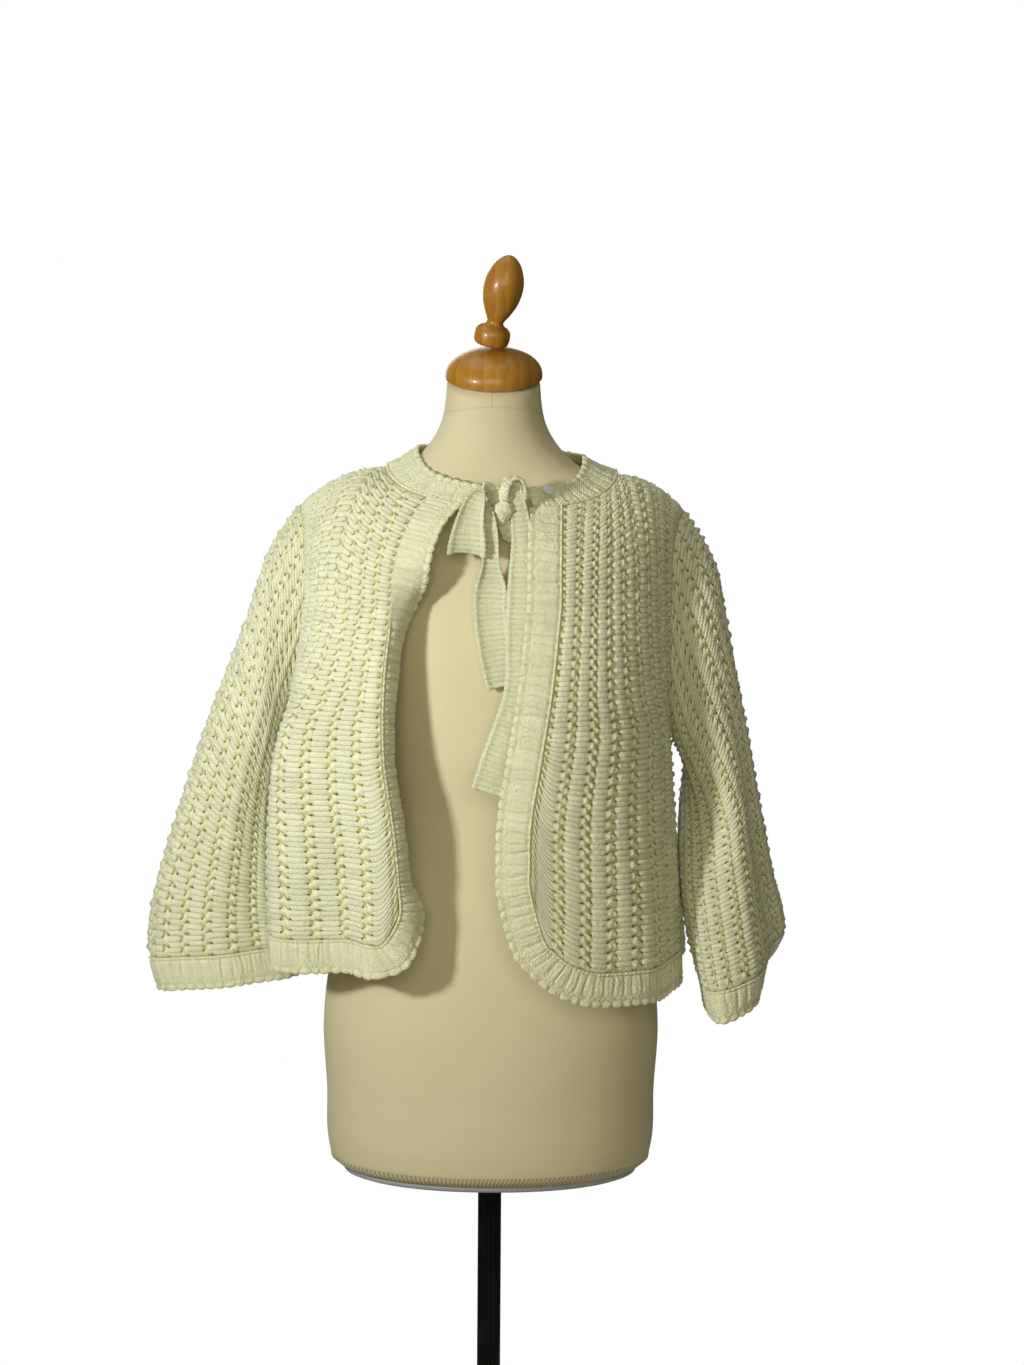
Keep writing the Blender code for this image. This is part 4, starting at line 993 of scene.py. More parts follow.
def ribbedPanel(name, grid, normals, closed, look, seed):
    # A panel or sleeve with a rib on every two columns of its grid.
    random = np.random.default_rng(seed)
    ribCount = grid.shape[1] // 2
    across = repeated(look["across"], ribCount)
    points = readColumns(grid, across * 2, closed)
    outward = unit(readColumns(normals, across * 2, closed))
    count = round(runAlong(points)[-1].mean() / ribs["stitch"])
    along = repeated(look["along"], count)
    shift = random.uniform(-ribs["shift"], ribs["shift"], ribCount)
    rib = np.minimum(across.astype(int), ribCount - 1)
    before = np.where(across == np.floor(across), rib - 1, rib) % ribCount
    drift = random.normal(0, ribs["drift"], (count + 1, ribCount))
    drift = between(along, np.arange(count + 1), drift)
    moved = (shift + drift)[:, rib] / 2 + (shift + drift)[:, before] / 2
    settled = np.clip(np.minimum(along, count - along) / ribs["settle"], 0, 1)[:, None]
    shares = (along[:, None] + moved * settled) / count
    level = np.repeat((along / count)[:, None], points.shape[1], axis=1)
    place = np.interp(shares, along / count, rowPlaces(points, level).mean(axis=1))
    base = readRows(points, place)
    outward = unit(readRows(outward, place))
    height, tone = stitchHeights(across, along, random)
    least, rowRun, ribRun = ribs["border"]
    border = np.clip(np.minimum(along, count - along)[:, None] / rowRun, least, 1)
    if not closed:
        border = border * np.clip(np.minimum(across, ribCount - across)[None, :] / ribRun, least, 1)
    height = height * border
    inner = base + outward * (inset + ribs["inside"] * height)[..., None]
    outer = base + outward * (ribs["valley"] + height)[..., None]
    # lift, the stitch's height as a share, becomes painted shade in the yarn: lower is darker
    lift = np.clip(height / (ribs["roll"] - ribs["valley"]), 0, 1) ** liftPower
    holes = stitchHoles(across, ribCount, count, look, random)
    return clothWall(name, inner, outer, closed, (across, along), lift, tone, 1.0, holes)


# Edgings, cuffs and the neckband: bars square to the edge

trims = {
    "across": (
        *(0, 0.02, 0.045, 0.07, 0.10, 0.14, 0.22, 0.32, 0.44),
        *(0.56, 0.65, 0.71, 0.77, 0.83, 0.88, 0.93, 0.97, 1.0),
    ),
    "turns": (0, 0.22, 0.5, 0.78),
    "valley": 0.0019,
    "thick": 0.0044,
    "chain": 0.0050,
    "chainAt": (0.050, 0.035),
    "chainEnd": 0.09,
    "grooveAt": (0.105, 0.022),
    "beadAt": (0.77, 0.05),
    "loopAt": (0.93, 0.06),
    "rowHalf": 0.05,
    "fade": (0.68, 0.06, 0.75),
    "seamRun": 0.03,
    "bead": 0.0024,
    "loop": 0.0024,
    "scallopBars": 2,
    "jitter": 0.13,
    "sway": 0.0009,
    "sizes": (0.68, 1.16),
    "inside": 0.3,
    "plainRun": 0.02,
}


def acrossBand(rows, s):
    # Values given at equal steps of a band's width, read at each place across it.
    at = s * (len(rows) - 1)
    low = np.minimum(at.astype(int), len(rows) - 2)
    return rows[low] + (at - low)[:, None] * (rows[low + 1] - rows[low])


def trimHeights(s, along, look, chained):
    # The height of a trim's stitches: a chain beside the seam, bars, beads, and loops on the edge.
    bar, gap = arch(along, 0.55), arch(along + 0.5, 0.6)
    fade, run, most = trims["fade"]
    body = (trims["thick"] - trims["valley"]) * (0.2 + 0.8 * arch(along / 2, 0.5))
    body = body * (1 - look["crease"] * (1 - bar)) * (1 - look["rowDip"] * bell(s, look["row"], trims["rowHalf"]))
    body = body * (1 - chained * bell(s, *trims["grooveAt"])) * (1 - most * np.clip((s - fade) / run, 0, 1))
    body = body * np.where(s < trims["chainEnd"], 1 - chained, 1)
    chain = (trims["chain"] - trims["valley"]) * bell(s, *trims["chainAt"]) * (0.25 + 0.75 * bar)
    beads = trims["bead"] * bell(s, *trims["beadAt"]) * gap
    loops = trims["loop"] * bell(s, *trims["loopAt"]) * arch(along / trims["scallopBars"], 0.6)
    seam = 1 - chained * (1 - np.clip(s / trims["seamRun"], 0.2, 1))
    return np.maximum.reduce([body, chain * chained, beads, loops]) * seam


def barTrim(name, grid, normals, closed, look, rowsAcross, seed):
    # A band whose rows go from the seam to the free edge; the bars follow its columns.
    random = np.random.default_rng(seed)
    s = np.array(trims["across"])
    middle = grid[1][:, None]
    if closed:
        middle = np.concatenate([middle, middle[:1]])
    length = runAlong(middle)[-1, 0]
    bars = 2 * round(length / look["bar"] / 2)
    along = repeated(trims["turns"], bars)
    jitter = np.interp(along, np.arange(bars + 1), random.normal(0, trims["jitter"], bars + 1))
    jitter[0] = jitter[-1] = 0
    places = rowPlaces(middle, ((along + jitter) / bars)[:, None])[:, 0]
    points = readColumns(grid, places, closed)
    outward = readColumns(normals, places, closed)
    rows = np.repeat((s * 2)[:, None], len(along), axis=1)
    base = readRows(points, rows)
    outward = unit(readRows(outward, rows))
    if closed:
        base[:, -1], outward[:, -1] = base[:, 0], outward[:, 0]
    tangent = unit(np.gradient(base, axis=1))
    sway = random.normal(0, trims["sway"], (5, bars + 1))
    sway[:, 0] = sway[:, -1] = 0
    sway = between(along, np.arange(bars + 1), sway.T).T
    base = base + tangent * acrossBand(sway, s)[..., None]
    edgewards = unit(base[-1] - base[-3])
    scallop = arch(along / trims["scallopBars"], 0.7)
    for row, share in ((-1, 1.0), (-2, 0.8), (-3, 0.4)):
        base[row] += edgewards * (look["scallop"] * share * scallop)[:, None]
    stitch = np.minimum(along.astype(int), bars - 1)
    size = acrossBand(random.uniform(*trims["sizes"], (6, bars))[:, stitch], s)
    chained = np.clip((along / bars * length - look["plain"]) / trims["plainRun"], 0, 1)[None, :]
    height = trimHeights(s[:, None], along[None, :], look, chained) * size
    inner = base + outward * (inset + trims["inside"] * height)[..., None]
    outer = base + outward * (trims["valley"] + height)[..., None]
    # lift, the bar's height as a share, becomes painted shade in the yarn: lower is darker
    lift = np.clip(height / (trims["thick"] - trims["valley"]), 0, 1) ** liftPower
    tone = np.repeat(random.uniform(0, 1, bars)[stitch][None, :], len(s), axis=0)
    return clothWall(name, inner, outer, closed, (along / 4, s * rowsAcross), lift, tone, 0.0)


# The cardigan

# plain is the length, from the left neck on, that has no chain beside its seam
trimLooks = {
    "edging": {"bar": 0.0053, "crease": 0.35, "row": 0.40, "rowDip": 0.15, "scallop": 0.0020, "plain": 0.13},
    "cuff": {"bar": 0.0053, "crease": 0.35, "row": 0.38, "rowDip": 0.18, "scallop": 0.0018, "plain": -0.1},
    "neckband": {"bar": 0.0060, "crease": 0.25, "row": 0.42, "rowDip": 0.4, "scallop": 0.0020, "plain": -0.1},
}
rowsAcross = {"edging": 3, "cuff": 3, "neckband": 2}
panelLooks = {"front_left": fineStitch, "front_right": fineStitch, "back": coarseStitch}


def makeCardigan():
    left, right, back = frontGrid(-1), frontGrid(1), backGrid()
    # each piece's grid, whether it is closed, and whether its normals are turned round
    pieces = {"front_left": (left, False, True), "front_right": (right, False, False), "back": (back, False, False)}
    for side, front in ((-1, left), (1, right)):
        armhole = armholeRing(front, back, side)
        for kind, runs in (("sleeve_", arms["rows"]), ("cuff_", arms["cuffRows"])):
            pieces[kind + sides[side]] = (sleeveGrid(runs, side, armhole), True, side < 0)
    pieces["neckband"] = (neckbandGrid(left, back, right), False, True)
    normals = sharedNormals(pieces)
    path = edgingPath(left, back, right)
    pathNormals = edgingPath(normals["front_left"], normals["back"], normals["front_right"])
    pieces["edging"] = (edgingGrid(path, pathNormals, len(left) - 1), False, False)
    normals = sharedNormals(pieces)
    for seed, (name, (grid, closed, _)) in enumerate(pieces.items()):
        kind = name.split("_")[0]
        if kind in trimLooks:
            piece = barTrim(name, grid, normals[name], closed, trimLooks[kind], rowsAcross[kind], seed)
        else:
            piece = ribbedPanel(name, grid, normals[name], closed, panelLooks.get(name, plainStitch), seed)
        piece.name = name.replace("_", "") + "Crochet"
        dress(piece, yarn, "knit", name)
        print(name, "made with", len(piece.data.polygons), "faces")


# The ribbon: two loops and two free ends, of narrow crochet with a beaded edge

ribbons = {
    "thick": 0.0026,
    "bead": 0.0044,
    "beadAt": (0.86, 0.1),
    "grooveAt": (0.68, 0.07),
    "groove": 0.0004,
    "bar": 0.0010,
    "pitch": 0.0053,
    "widen": 0.05,
    "sizes": (0.8, 1.15),
    "across": (-1, -0.94, -0.86, -0.76, -0.68, -0.4, -0.13, 0.13, 0.4, 0.68, 0.76, 0.86, 0.94, 1),
    "loopLeft": table(
        "step x y z half tilt",
        (0, 0.0030, -0.1060, 1.4149, 0.0055, 55),
        (1, -0.0060, -0.1110, 1.4275, 0.0072, 50),
        (2, -0.0175, -0.1160, 1.4160, 0.0100, 30),
        (3, -0.0240, -0.1185, 1.3930, 0.0145, 6),
        (4, -0.0262, -0.1190, 1.3712, 0.0185, -5),
        (5, -0.0270, -0.1145, 1.3615, 0.0186, -6),
        (6, -0.0262, -0.1085, 1.3720, 0.0180, -5),
        (7, -0.0205, -0.1040, 1.3930, 0.0140, 4),
        (8, -0.0060, -0.1025, 1.4125, 0.0090, 25),
    ),
    "loopRight": table(
        "step x y z half tilt",
        (0, 0.0125, -0.1040, 1.4180, 0.0070, 0),
        (1, 0.0130, -0.1050, 1.4290, 0.0085, 0),
        (2, 0.0180, -0.1045, 1.4360, 0.0090, 0),
        (3, 0.0240, -0.1035, 1.4350, 0.0085, 0),
        (4, 0.0275, -0.1020, 1.4280, 0.0075, 0),
        (5, 0.0280, -0.1010, 1.4170, 0.0060, 0),
    ),
    "tailLeft": table(
        "step x y z half tilt",
        (0, -0.0068, -0.1080, 1.4150, 0.0026, 10),
        (1, -0.0040, -0.1120, 1.4000, 0.0052, 8),
        (2, -0.0024, -0.1140, 1.3830, 0.0070, 5),
        (3, -0.0022, -0.1110, 1.3520, 0.0090, 2),
        (4, -0.0022, -0.1040, 1.3260, 0.0160, 0),
        (5, -0.0024, -0.1025, 1.3030, 0.0166, -3),
        (6, 0.0010, -0.1075, 1.2720, 0.0166, -8),
        (7, 0.0070, -0.1110, 1.2420, 0.0162, -12),
        (8, 0.0105, -0.1120, 1.2270, 0.0150, -14),
    ),
    "tailRight": table(
        "step x y z half tilt",
        (0, 0.0205, -0.1005, 1.4310, 0.0070, -12),
        (1, 0.0262, -0.1010, 1.4050, 0.0088, -10),
        (2, 0.0305, -0.1020, 1.3700, 0.0122, -4),
        (3, 0.0310, -0.1140, 1.3270, 0.0158, 0),
        (4, 0.0298, -0.1235, 1.2760, 0.0163, 0),
        (5, 0.0290, -0.1305, 1.2260, 0.0163, -8),
        (6, 0.0170, -0.1330, 1.1850, 0.0163, -18),
        (7, 0.0050, -0.1345, 1.1520, 0.0163, -20),
        (8, -0.0045, -0.1355, 1.1220, 0.0160, -22),
    ),
}
ribbonParts = {  # node, curl of its middle, turn, width, length and area laid flat
    "loopLeft": ("tie_loop_left", -0.0040, 0, 0.037, 0.149, 0.0038),
    "loopRight": ("tie_loop_right", 0.0012, 120, 0.018, 0.045, 0.0008),
    "tailLeft": ("tie_tail_left", -0.0030, 0, 0.033, 0.190, 0.0046),
    "tailRight": ("tie_tail_right", 0.0022, 0, 0.033, 0.318, 0.0090),
}


def ribbonPiece(name, curl, turn, seed):
    # A ribbon along its table's middle line: plain bars between two rows of small loops.
    random = np.random.default_rng(seed)
    sheet = ribbons[name]
    dense = np.linspace(0, sheet["step"][-1], 400)
    line = np.stack([read(sheet, axis, dense) for axis in "xyz"], axis=1)
    run = runAlong(line)
    bars = round(run[-1] / ribbons["pitch"])
    along = repeated((0, 0.25, 0.5, 0.75), bars)
    steps = np.interp(along / bars * run[-1], run, dense)
    middle = np.stack([read(sheet, axis, steps) for axis in "xyz"], axis=1)
    way = unit(np.gradient(middle, axis=0))
    tilt = np.radians(read(sheet, "tilt", steps))
    turn = np.full_like(tilt, math.radians(turn))
    across = np.stack([np.cos(tilt) * np.cos(turn), np.sin(turn), np.sin(tilt) * np.cos(turn)], axis=1)
    across = unit(across - way * (across * way).sum(axis=1)[:, None])
    face = np.cross(way, across)
    s = np.array(ribbons["across"])
    loops = arch(along - np.floor(along), 0.6)
    half = read(sheet, "half", steps)[:, None] * (1 + ribbons["widen"] * loops[:, None] * (np.abs(s) > 0.9))
    base = middle[:, None] + across[:, None] * (half * s)[..., None]
    base = base + face[:, None] * (curl * (1 - s**2))[None, :, None]
    size = random.uniform(*ribbons["sizes"], bars)[np.minimum(along.astype(int), bars - 1)]
    edge = bell(np.abs(s), *ribbons["beadAt"])[None, :]
    lift = edge * (0.25 + 0.75 * loops * size)[:, None] * (ribbons["bead"] - ribbons["thick"])
    lift = lift + ribbons["bar"] * (1 - edge) * (loops[:, None] - 0.6)
    lift = lift - ribbons["groove"] * bell(np.abs(s), *ribbons["grooveAt"])[None, :]
    inner = base - face[:, None] * 0.3 * lift[..., None]
    outer = base + face[:, None] * (ribbons["thick"] + lift)[..., None]
    # high, the ribbon's height as a share, becomes painted shade in the yarn: its grooves are darker
    high = np.clip(0.7 + lift / 0.0014, 0, 1)
    tone = np.repeat(random.uniform(0, 1, len(along))[:, None], len(s), axis=1)
    return clothWall(name + "Ribbon", inner, outer, False, (s * 2, along), high, tone, 0.0)


def makeTie():
    for seed, (name, (node, curl, turn, width, length, area)) in enumerate(ribbonParts.items(), 40):
        piece = ribbonPiece(name, curl, turn, seed)
        dress(piece, yarn, "knit", node)


# The knot: the ribbon wound round itself, as a drop, a roll, a fold on top and a fan below

knot = {
    "stitches": 2.4,
    "ripples": (0.10, 0.08),
    "lobes": table(
        "x y z wide deep tall lean narrow",
        (0.0092, -0.1055, 1.4040, 0.0092, 0.0078, 0.0136, 6, 0.28),
        (0.0118, -0.1050, 1.4230, 0.0072, 0.0065, 0.0130, 8, 0.0),
        (0.0190, -0.1035, 1.4330, 0.0092, 0.0055, 0.0050, 0, 0.0),
        (0.0150, -0.1000, 1.3850, 0.0082, 0.0035, 0.0130, -28, 0.10),
    ),
}


def makeKnot():
    shape = bmesh.new()
    weave = shape.loops.layers.uv.new("weave")
    coarse, fine = knot["ripples"]
    for x, y, z, wide, deep, tall, lean, narrow in zip(*knot["lobes"].values()):
        lobe = bmesh.ops.create_uvsphere(shape, u_segments=56, v_segments=40, radius=1, calc_uvs=True)
        turn = Matrix.Rotation(math.radians(lean), 3, "Y")
        for vertex in lobe["verts"]:
            a, b, c = vertex.co
            around = math.atan2(b, a)
            wound = 1 + coarse * math.sin(3 * around + 4 * c + 900 * x) + fine * math.sin(13 * c + 2 * around)
            wound *= 1 + narrow * c
            vertex.co = turn @ Vector((a * wide * wound, b * deep * wound, c * tall)) + Vector((x, y, z))
    for face in shape.faces:
        for corner in face.loops:
            corner[weave].uv *= knot["stitches"]
    mesh = meshFrom("knotRibbon", shape)
    for attribute, value in (("lift", 0.8), ("tone", 0.5), ("ribbed", 0.0)):
        setValues(mesh, attribute, [value] * len(mesh.vertices))
    dress(newPiece("knotRibbon", mesh), yarn, "knit", "tie_knot")


# Turned pieces: the button, the wooden cap and knob, and the base


def arc(centre, radii, start, end, count):
    # Points of radius and height along an elliptic arc between two angles in degrees.
    angles = np.radians(np.linspace(start, end, count))
    return [(centre[0] + radii[0] * math.cos(a), centre[1] + radii[1] * math.sin(a)) for a in angles]


def smoothProfile(points, count):
    # More points on a smooth curve through a profile's own.
    grid = np.array([(radius, 0, height) for radius, height in points], float)[:, None]
    place = rowPlaces(grid, np.linspace(0, 1, count)[:, None])
    return [(max(0.0, x), z) for x, _, z in readRows(grid, place)[:, 0]]


def turnedPiece(name, profile, steps, place=(0, 0, 0), tilt=0.0, lean=0.0):
    # A profile of radius and height from the top down, spun round the Z axis, then set in place.
    shape = bmesh.new()
    points = [shape.verts.new((radius, 0, height)) for radius, height in profile]
    edges = [shape.edges.new(pair) for pair in zip(points, points[1:])]
    ring = {"cent": (0, 0, 0), "axis": (0, 0, 1), "angle": 2 * math.pi, "steps": steps, "use_merge": True}
    bmesh.ops.spin(shape, geom=points + edges, **ring)
    bmesh.ops.remove_doubles(shape, verts=shape.verts, dist=0.00002)
    bmesh.ops.recalc_face_normals(shape, faces=shape.faces)
    turn = Matrix.Rotation(math.radians(lean), 4, "Y") @ Matrix.Rotation(math.radians(tilt), 4, "X")
    bmesh.ops.transform(shape, matrix=Matrix.Translation(place) @ turn, verts=shape.verts)
    return newPiece(name, meshFrom(name, shape))


def shadeSharp(piece, degrees):
    # Keeps creases sharper than the angle crisp, and the rest smooth.
    shape = bmesh.new()
    shape.from_mesh(piece.data)
    for edge in shape.edges:
        edge.smooth = len(edge.link_faces) == 2 and edge.calc_face_angle(0) < math.radians(degrees)
    shape.to_mesh(piece.data)
    shape.free()


button = {
    "set": {"place": (0.0556, -0.0735, 1.4253), "tilt": 42.0, "lean": 19.5},
    "profile": [
        (0.0, 0.0034),
        *arc((0.0043, 0.0018), (0.0018, 0.0016), 90, -60, 10),
        *((0.0020, 0.0006), (0.0020, 0.0), (0.0, 0.0)),
    ],
}

cap = {
    "set": {"place": (-0.0016, 0.0005, 1.5362), "tilt": 15.5},
    "top": 0.0360,
    "profile": [
        *arc((0, 0.0085), (0.0510, 0.0275), 90, 0, 28),
        *arc((0.0488, 0.0057), (0.0022, 0.0022), 0, -90, 5),
        *((0.0430, 0.0), (0.0, 0.0)),
    ],
}

finial = {
    "tilt": 13.0,
    "lean": 13.0,
    "length": 0.0961,
    "seat": (-0.0040, 0.0010, 0.0034),
    "profile": table(
        "height radius",
        (0.0000, 0.0150), (0.0022, 0.0176), (0.0060, 0.0187), (0.0110, 0.0189), (0.0160, 0.0180),
        (0.0195, 0.0150), (0.0215, 0.0108), (0.0245, 0.0086), (0.0285, 0.0101), (0.0350, 0.0138),
        (0.0450, 0.0181), (0.0530, 0.0200), (0.0610, 0.0208), (0.0690, 0.0203), (0.0765, 0.0183),
        (0.0860, 0.0140), (0.0920, 0.0088), (0.0952, 0.0040),
    ),
}

base = [
    *((0.0, 0.0297), (0.0128, 0.0297), (0.0128, 0.060), (0.0138, 0.062)),
    *arc((0.018, 0.058), (0.004, 0.004), 90, 0, 6),
    *arc((0.050, 0.052), (0.028, 0.036), 180, 270, 14),
    *((0.08, 0.0153), (0.12, 0.0135), (0.16, 0.0113), (0.178, 0.010)),
    *arc((0.185, 0.004), (0.005, 0.005), 75, 0, 5),
    *((0.190, 0.002), (0.188, 0.0), (0.0, 0.0)),
]
pole = {"radius": 0.0125, "flutes": 12, "depth": 0.0012, "low": 0.030, "high": 0.6972}
crispEdges = 35


def makePearl():
    finish = Finish("pearl", Roughness=0.22, Coat_Weight=0.6, Coat_Roughness=0.1)
    cloud = finish.noise(finish.place(), 260.0, 3.0)
    finish.feed("Base Color", finish.mix(cloud, rgb(0.78, 0.78, 0.80), rgb(0.97, 0.95, 0.93)))
    return finish


def makeWood():
    # amber stain over turned wood: rings across the grain, fine pores and a varnish coat
    finish = Finish("turnedWood", Coat_Weight=0.3, Coat_Roughness=0.12)
    place = finish.place((1.0, 1.0, 0.28))
    warp = finish.noise(place, 14.0, 3.0)
    rings = finish.bands("SAW", "X", Vector=place, Scale=26.0, Distortion=5.5, Detail=3.0, Detail_Scale=1.2)
    pores = finish.noise(finish.place((1.0, 1.0, 0.06)), 900.0)
    grain = finish.mix(rings * 0.75 + 0.2 * warp, rgb(0.52, 0.235, 0.022), rgb(0.32, 0.12, 0.009))
    stain = finish.mix(finish.noise(place, 30.0) * 0.5, grain, rgb(0.62, 0.32, 0.035))
    finish.feed("Base Color", stain)
    finish.feed("Roughness", 0.28 + 0.22 * pores)
    finish.feed("Normal", finish.bump(pores, 0.0002, 0.25))
    return finish


def makeBlackMetal():
    finish = Finish("blackMetal", Specular_IOR_Level=0.25)
    place = finish.place()
    worn = finish.noise(place, 35.0, 4.0)
    finish.feed("Base Color", finish.mix(worn, rgb(0.002, 0.002, 0.002), rgb(0.007, 0.007, 0.007)))
    finish.feed("Roughness", 0.24 + 0.2 * worn)
    finish.feed("Normal", finish.bump(finish.noise(place, 600.0), 0.0002, 0.15))
    return finish


def makeTurned():
    wood, black, pearl = makeWood(), makeBlackMetal(), makePearl()
    dress(turnedPiece("pearlButton", button["profile"], 48, **button["set"]), pearl, "pearl", "button")
    dress(turnedPiece("neckCapWood", cap["profile"], 96, **cap["set"]), wood, "wood", "neck_cap")
    tilt = Matrix.Rotation(math.radians(cap["set"]["tilt"]), 3, "X")
    apex = Vector(cap["set"]["place"]) + tilt @ Vector((0, 0, cap["top"]))
    heights, radii = (column[::-1] for column in finial["profile"].values())
    side = smoothProfile([(0.0, finial["length"]), *zip(radii, heights)], 60)
    place = apex + Vector(finial["seat"])
    knob = turnedPiece("finialWood", side + [(0.0, 0.0)], 64, place, finial["tilt"], finial["lean"])
    dress(knob, wood, "wood", "finial")
    plate = turnedPiece("basePlate", base, 128)
    shadeSharp(dress(plate, black, "black_metal", "base"), crispEdges)
    makePole(black)


def makePole(black):
    # the pole's flutes are cut round a circle, which is then drawn up
    shape = bmesh.new()
    count = pole["flutes"] * 8
    bmesh.ops.create_circle(shape, cap_ends=True, segments=count, radius=pole["radius"])
    for vertex in shape.verts:
        turn = math.atan2(vertex.co.y, vertex.co.x) * pole["flutes"]
        vertex.co *= 1 - pole["depth"] / pole["radius"] * (1 - abs(math.cos(turn / 2)) ** 0.8)
    bmesh.ops.translate(shape, verts=shape.verts, vec=(0, 0, pole["low"]))
    risen = bmesh.ops.extrude_face_region(shape, geom=shape.faces[:], use_keep_orig=True)
    top = [item for item in risen["geom"] if isinstance(item, bmesh.types.BMVert)]
    bmesh.ops.translate(shape, verts=top, vec=(0, 0, pole["high"] - pole["low"]))
    bmesh.ops.recalc_face_normals(shape, faces=shape.faces)
    piece = newPiece("poleTube", meshFrom("poleTube", shape))
    shadeSharp(dress(piece, black, "black_metal", "pole"), crispEdges)


# The dress form

form = {
    "roundness": 2.1,
    "neckShift": (-0.0015, 1.30, 0.15),
    "round": 120,
    "rings": 110,
    "inset": 0.0009,
    "underside": 0.6975,
    "undersideInset": 0.004,
    "neckSeam": 1.500,
    "neckSeamTilt": 0.20,
    "seamAt": -0.0016,
    "seamSharp": 700,
    "serged": (0.0110, 0.0095),
    "sergedTurns": 28.0,
    "sergedSlant": 70,
    "sections": table(
        "height halfWidth front back lean",
        (0.7065, 0.1620, 0.1110, 0.1150, 0),
        (0.7115, 0.1690, 0.1170, 0.1210, 0),
        (0.722, 0.1720, 0.1190, 0.1230, 0),
        (0.790, 0.1755, 0.1200, 0.1240, 0),
        (0.860, 0.1790, 0.1190, 0.1240, 0),
        (0.915, 0.1735, 0.1130, 0.1190, 0),
        (0.970, 0.1590, 0.1060, 0.1060, 0),
        (1.030, 0.1370, 0.0950, 0.0880, 0),
        (1.090, 0.1240, 0.0900, 0.0790, 0),
        (1.150, 0.1290, 0.1000, 0.0810, 0),
        (1.205, 0.1390, 0.1040, 0.0880, 0),
        (1.250, 0.1460, 0.1030, 0.0950, 0),
        (1.300, 0.1560, 0.0940, 0.1000, 0),
        (1.345, 0.1630, 0.0860, 0.0980, 0),
        (1.375, 0.1700, 0.0820, 0.0900, 0),
        (1.395, 0.1680, 0.0750, 0.0800, 0),
        (1.413, 0.1560, 0.0680, 0.0700, 0),
        (1.427, 0.1340, 0.0610, 0.0620, 0),
        (1.438, 0.1112, 0.0558, 0.0590, 0.02),
        (1.449, 0.0900, 0.0535, 0.0570, 0.05),
        (1.461, 0.0765, 0.0510, 0.0560, 0.09),
        (1.475, 0.0650, 0.0500, 0.0540, 0.13),
        (1.492, 0.0560, 0.0490, 0.0520, 0.17),
        (1.512, 0.0515, 0.0485, 0.0500, 0.21),
        (1.534, 0.0495, 0.0480, 0.0490, 0.25),
    ),
}


def formRing(height, halfWidth, front, back, lean):
    # A section of the dress form: a rounded oval, tipped forwards by its lean.
    turn = np.linspace(0, 2 * math.pi, form["round"], endpoint=False)
    across, ahead = np.sin(turn), np.cos(turn)
    x = halfWidth * squared(across, form["roundness"])
    y = -np.where(ahead > 0, front, back) * squared(ahead, form["roundness"])
    most, start, run = form["neckShift"]
    shift = most * min(1, max(0, (height - start) / run))
    return np.stack([x + shift, y, height + lean * y], axis=1)


def loftPiece(name, rings):
    # A closed body through rings: a grid rolled into a tube, with its ends filled.
    rows, columns = rings.shape[:2]
    shape = bmesh.new()
    shape.loops.layers.uv.new("weave")
    bmesh.ops.create_grid(shape, x_segments=columns, y_segments=rows - 1, size=1, calc_uvs=True)
    for index, vertex in enumerate(shape.verts):
        vertex.co = Vector(rings[index // (columns + 1), index % (columns + 1) % columns])
    bmesh.ops.remove_doubles(shape, verts=shape.verts, dist=1e-6)
    bmesh.ops.holes_fill(shape, edges=shape.edges[:], sides=0)
    bmesh.ops.recalc_face_normals(shape, faces=shape.faces)
    return newPiece(name, meshFrom(name, shape))


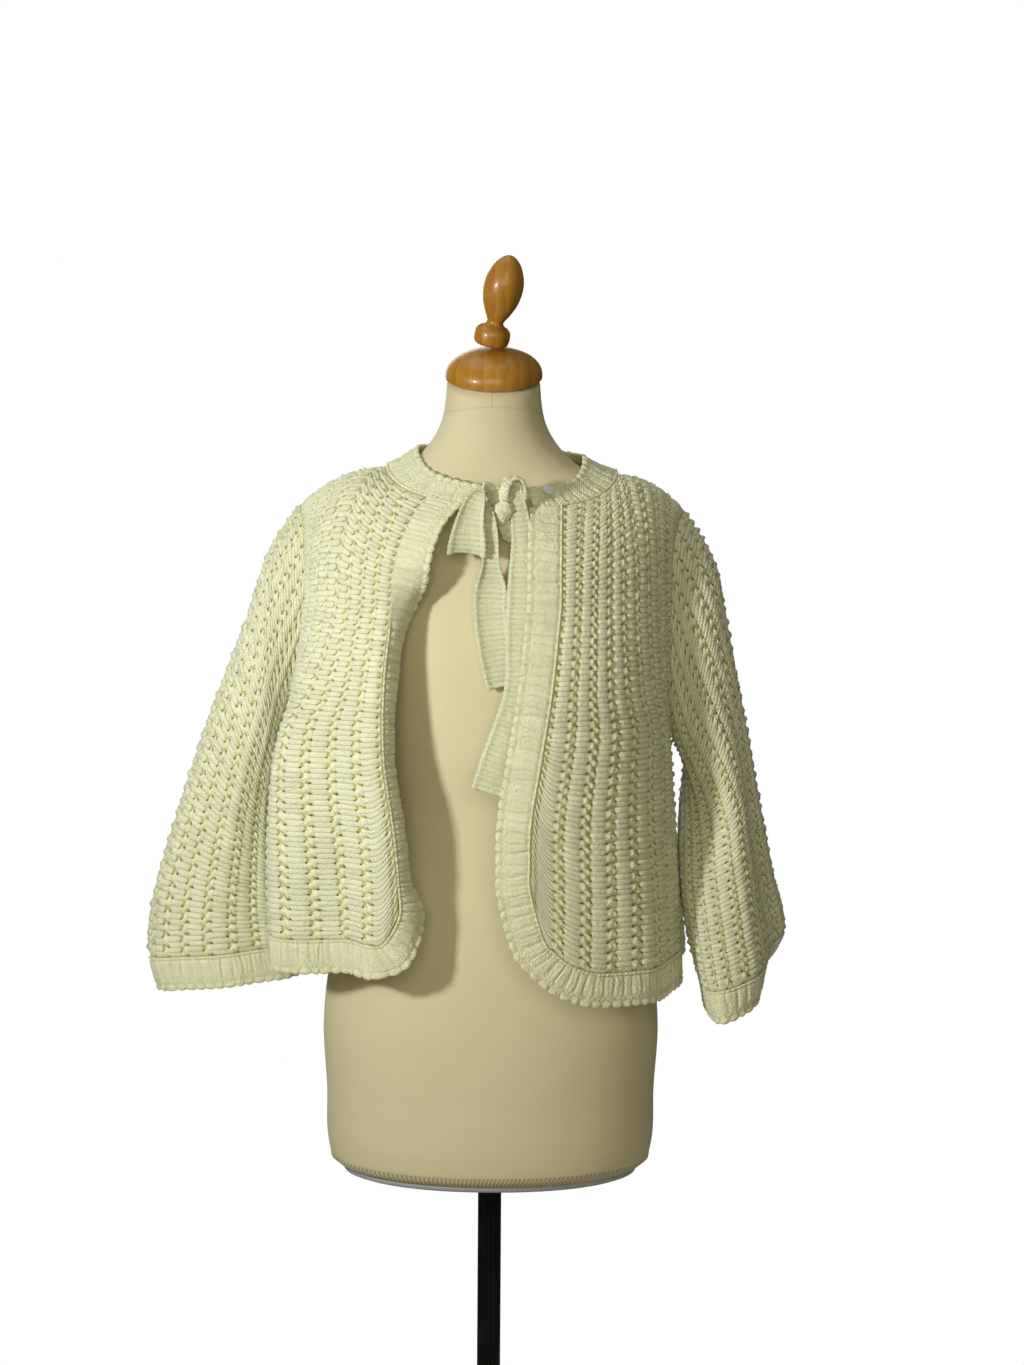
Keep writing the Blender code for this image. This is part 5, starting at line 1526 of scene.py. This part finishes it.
def makeJersey():
    # fine jersey pulled over foam, with a seam round the neck and one down it, and a serged hem
    sheen = {"Sheen_Weight": 0.15, "Sheen_Roughness": 0.5}
    finish = Finish("creamJersey", Roughness=0.85, Specular_IOR_Level=0.2, **sheen)
    place = finish.place()
    across, ahead, rise = (finish.axis(place, axis) for axis in range(3))
    sharp = form["seamSharp"]
    ring = rise - form["neckSeam"] + form["neckSeamTilt"] * ahead
    below = finish.step(ring, 0.0, -0.001)
    seam = across.maths("SMOOTH_MIN", abs(across - form["seamAt"]) * sharp + 2 * below, abs(ring) * sharp, 0.4)
    seam = seam.maths("SMOOTH_MIN", seam, 1.0, 0.4)
    hem = rise - form["sections"]["height"][0]
    band = finish.step(hem, *form["serged"])
    turns = across.maths("ARCTAN2", across, ahead) * form["sergedTurns"]
    slant = (turns + hem * form["sergedSlant"]).fraction()
    thread = band * finish.step(abs(slant - 0.5), 0.12, 0.30)
    soft = finish.noise(place, 6.0, 3.0)
    knit = finish.noise(finish.place((1.0, 1.0, 0.45)), 1500.0)
    plain = finish.mix(soft, rgb(0.70, 0.625, 0.385), rgb(0.76, 0.695, 0.45))
    worn = finish.mix(seam, rgb(0.66, 0.58, 0.38), plain)
    finish.feed("Base Color", finish.mix(thread * 0.8, worn, rgb(0.40, 0.34, 0.18)))
    pulled = finish.bump(finish.noise(finish.place((1.0, 1.0, 3.5)), 9.0, 4.0), 0.006, 0.25)
    finish.feed("Normal", finish.bump(seam + 0.35 * knit - 0.6 * thread, 0.0006, 0.6, pulled))
    return finish


def makeUnderside():
    finish = Finish("greyUnderside", Roughness=0.75)
    grit = finish.noise(finish.place(), 300.0, 3.0)
    finish.feed("Base Color", finish.mix(grit, rgb(0.38, 0.38, 0.37), rgb(0.52, 0.52, 0.51)))
    finish.feed("Normal", finish.bump(grit, 0.0003, 0.4))
    return finish


def makeForm():
    sections, inset = form["sections"], form["inset"]
    rings = []
    for height in np.linspace(sections["height"][0], sections["height"][-1], form["rings"]):
        names = ("halfWidth", "front", "back", "lean")
        width, front, back, lean = (float(read(sections, name, height)) for name in names)
        rings.append(formRing(height, width - inset, front - inset, back - inset, lean))
    dress(loftPiece("torsoJersey", np.array(rings)), makeJersey(), "jersey", "form_torso")
    bottom, width, front, back, _ = (column[0] for column in sections.values())
    low, inset = form["underside"], form["undersideInset"]
    levels = ((low, 3 * inset), (low + 0.0025, 1.5 * inset), (bottom - 0.0003, inset))
    rings = [formRing(height, width - off, front - off, back - off, 0) for height, off in levels]
    dress(loftPiece("torsoUnderside", np.array(rings)), makeUnderside(), "underside", "form_underside")


makeForm()
print("dress form made")
makeTurned()
print("cap, finial, pole, base and button made")
makeCardigan()
makeTie()
makeKnot()
print("ribbon made")
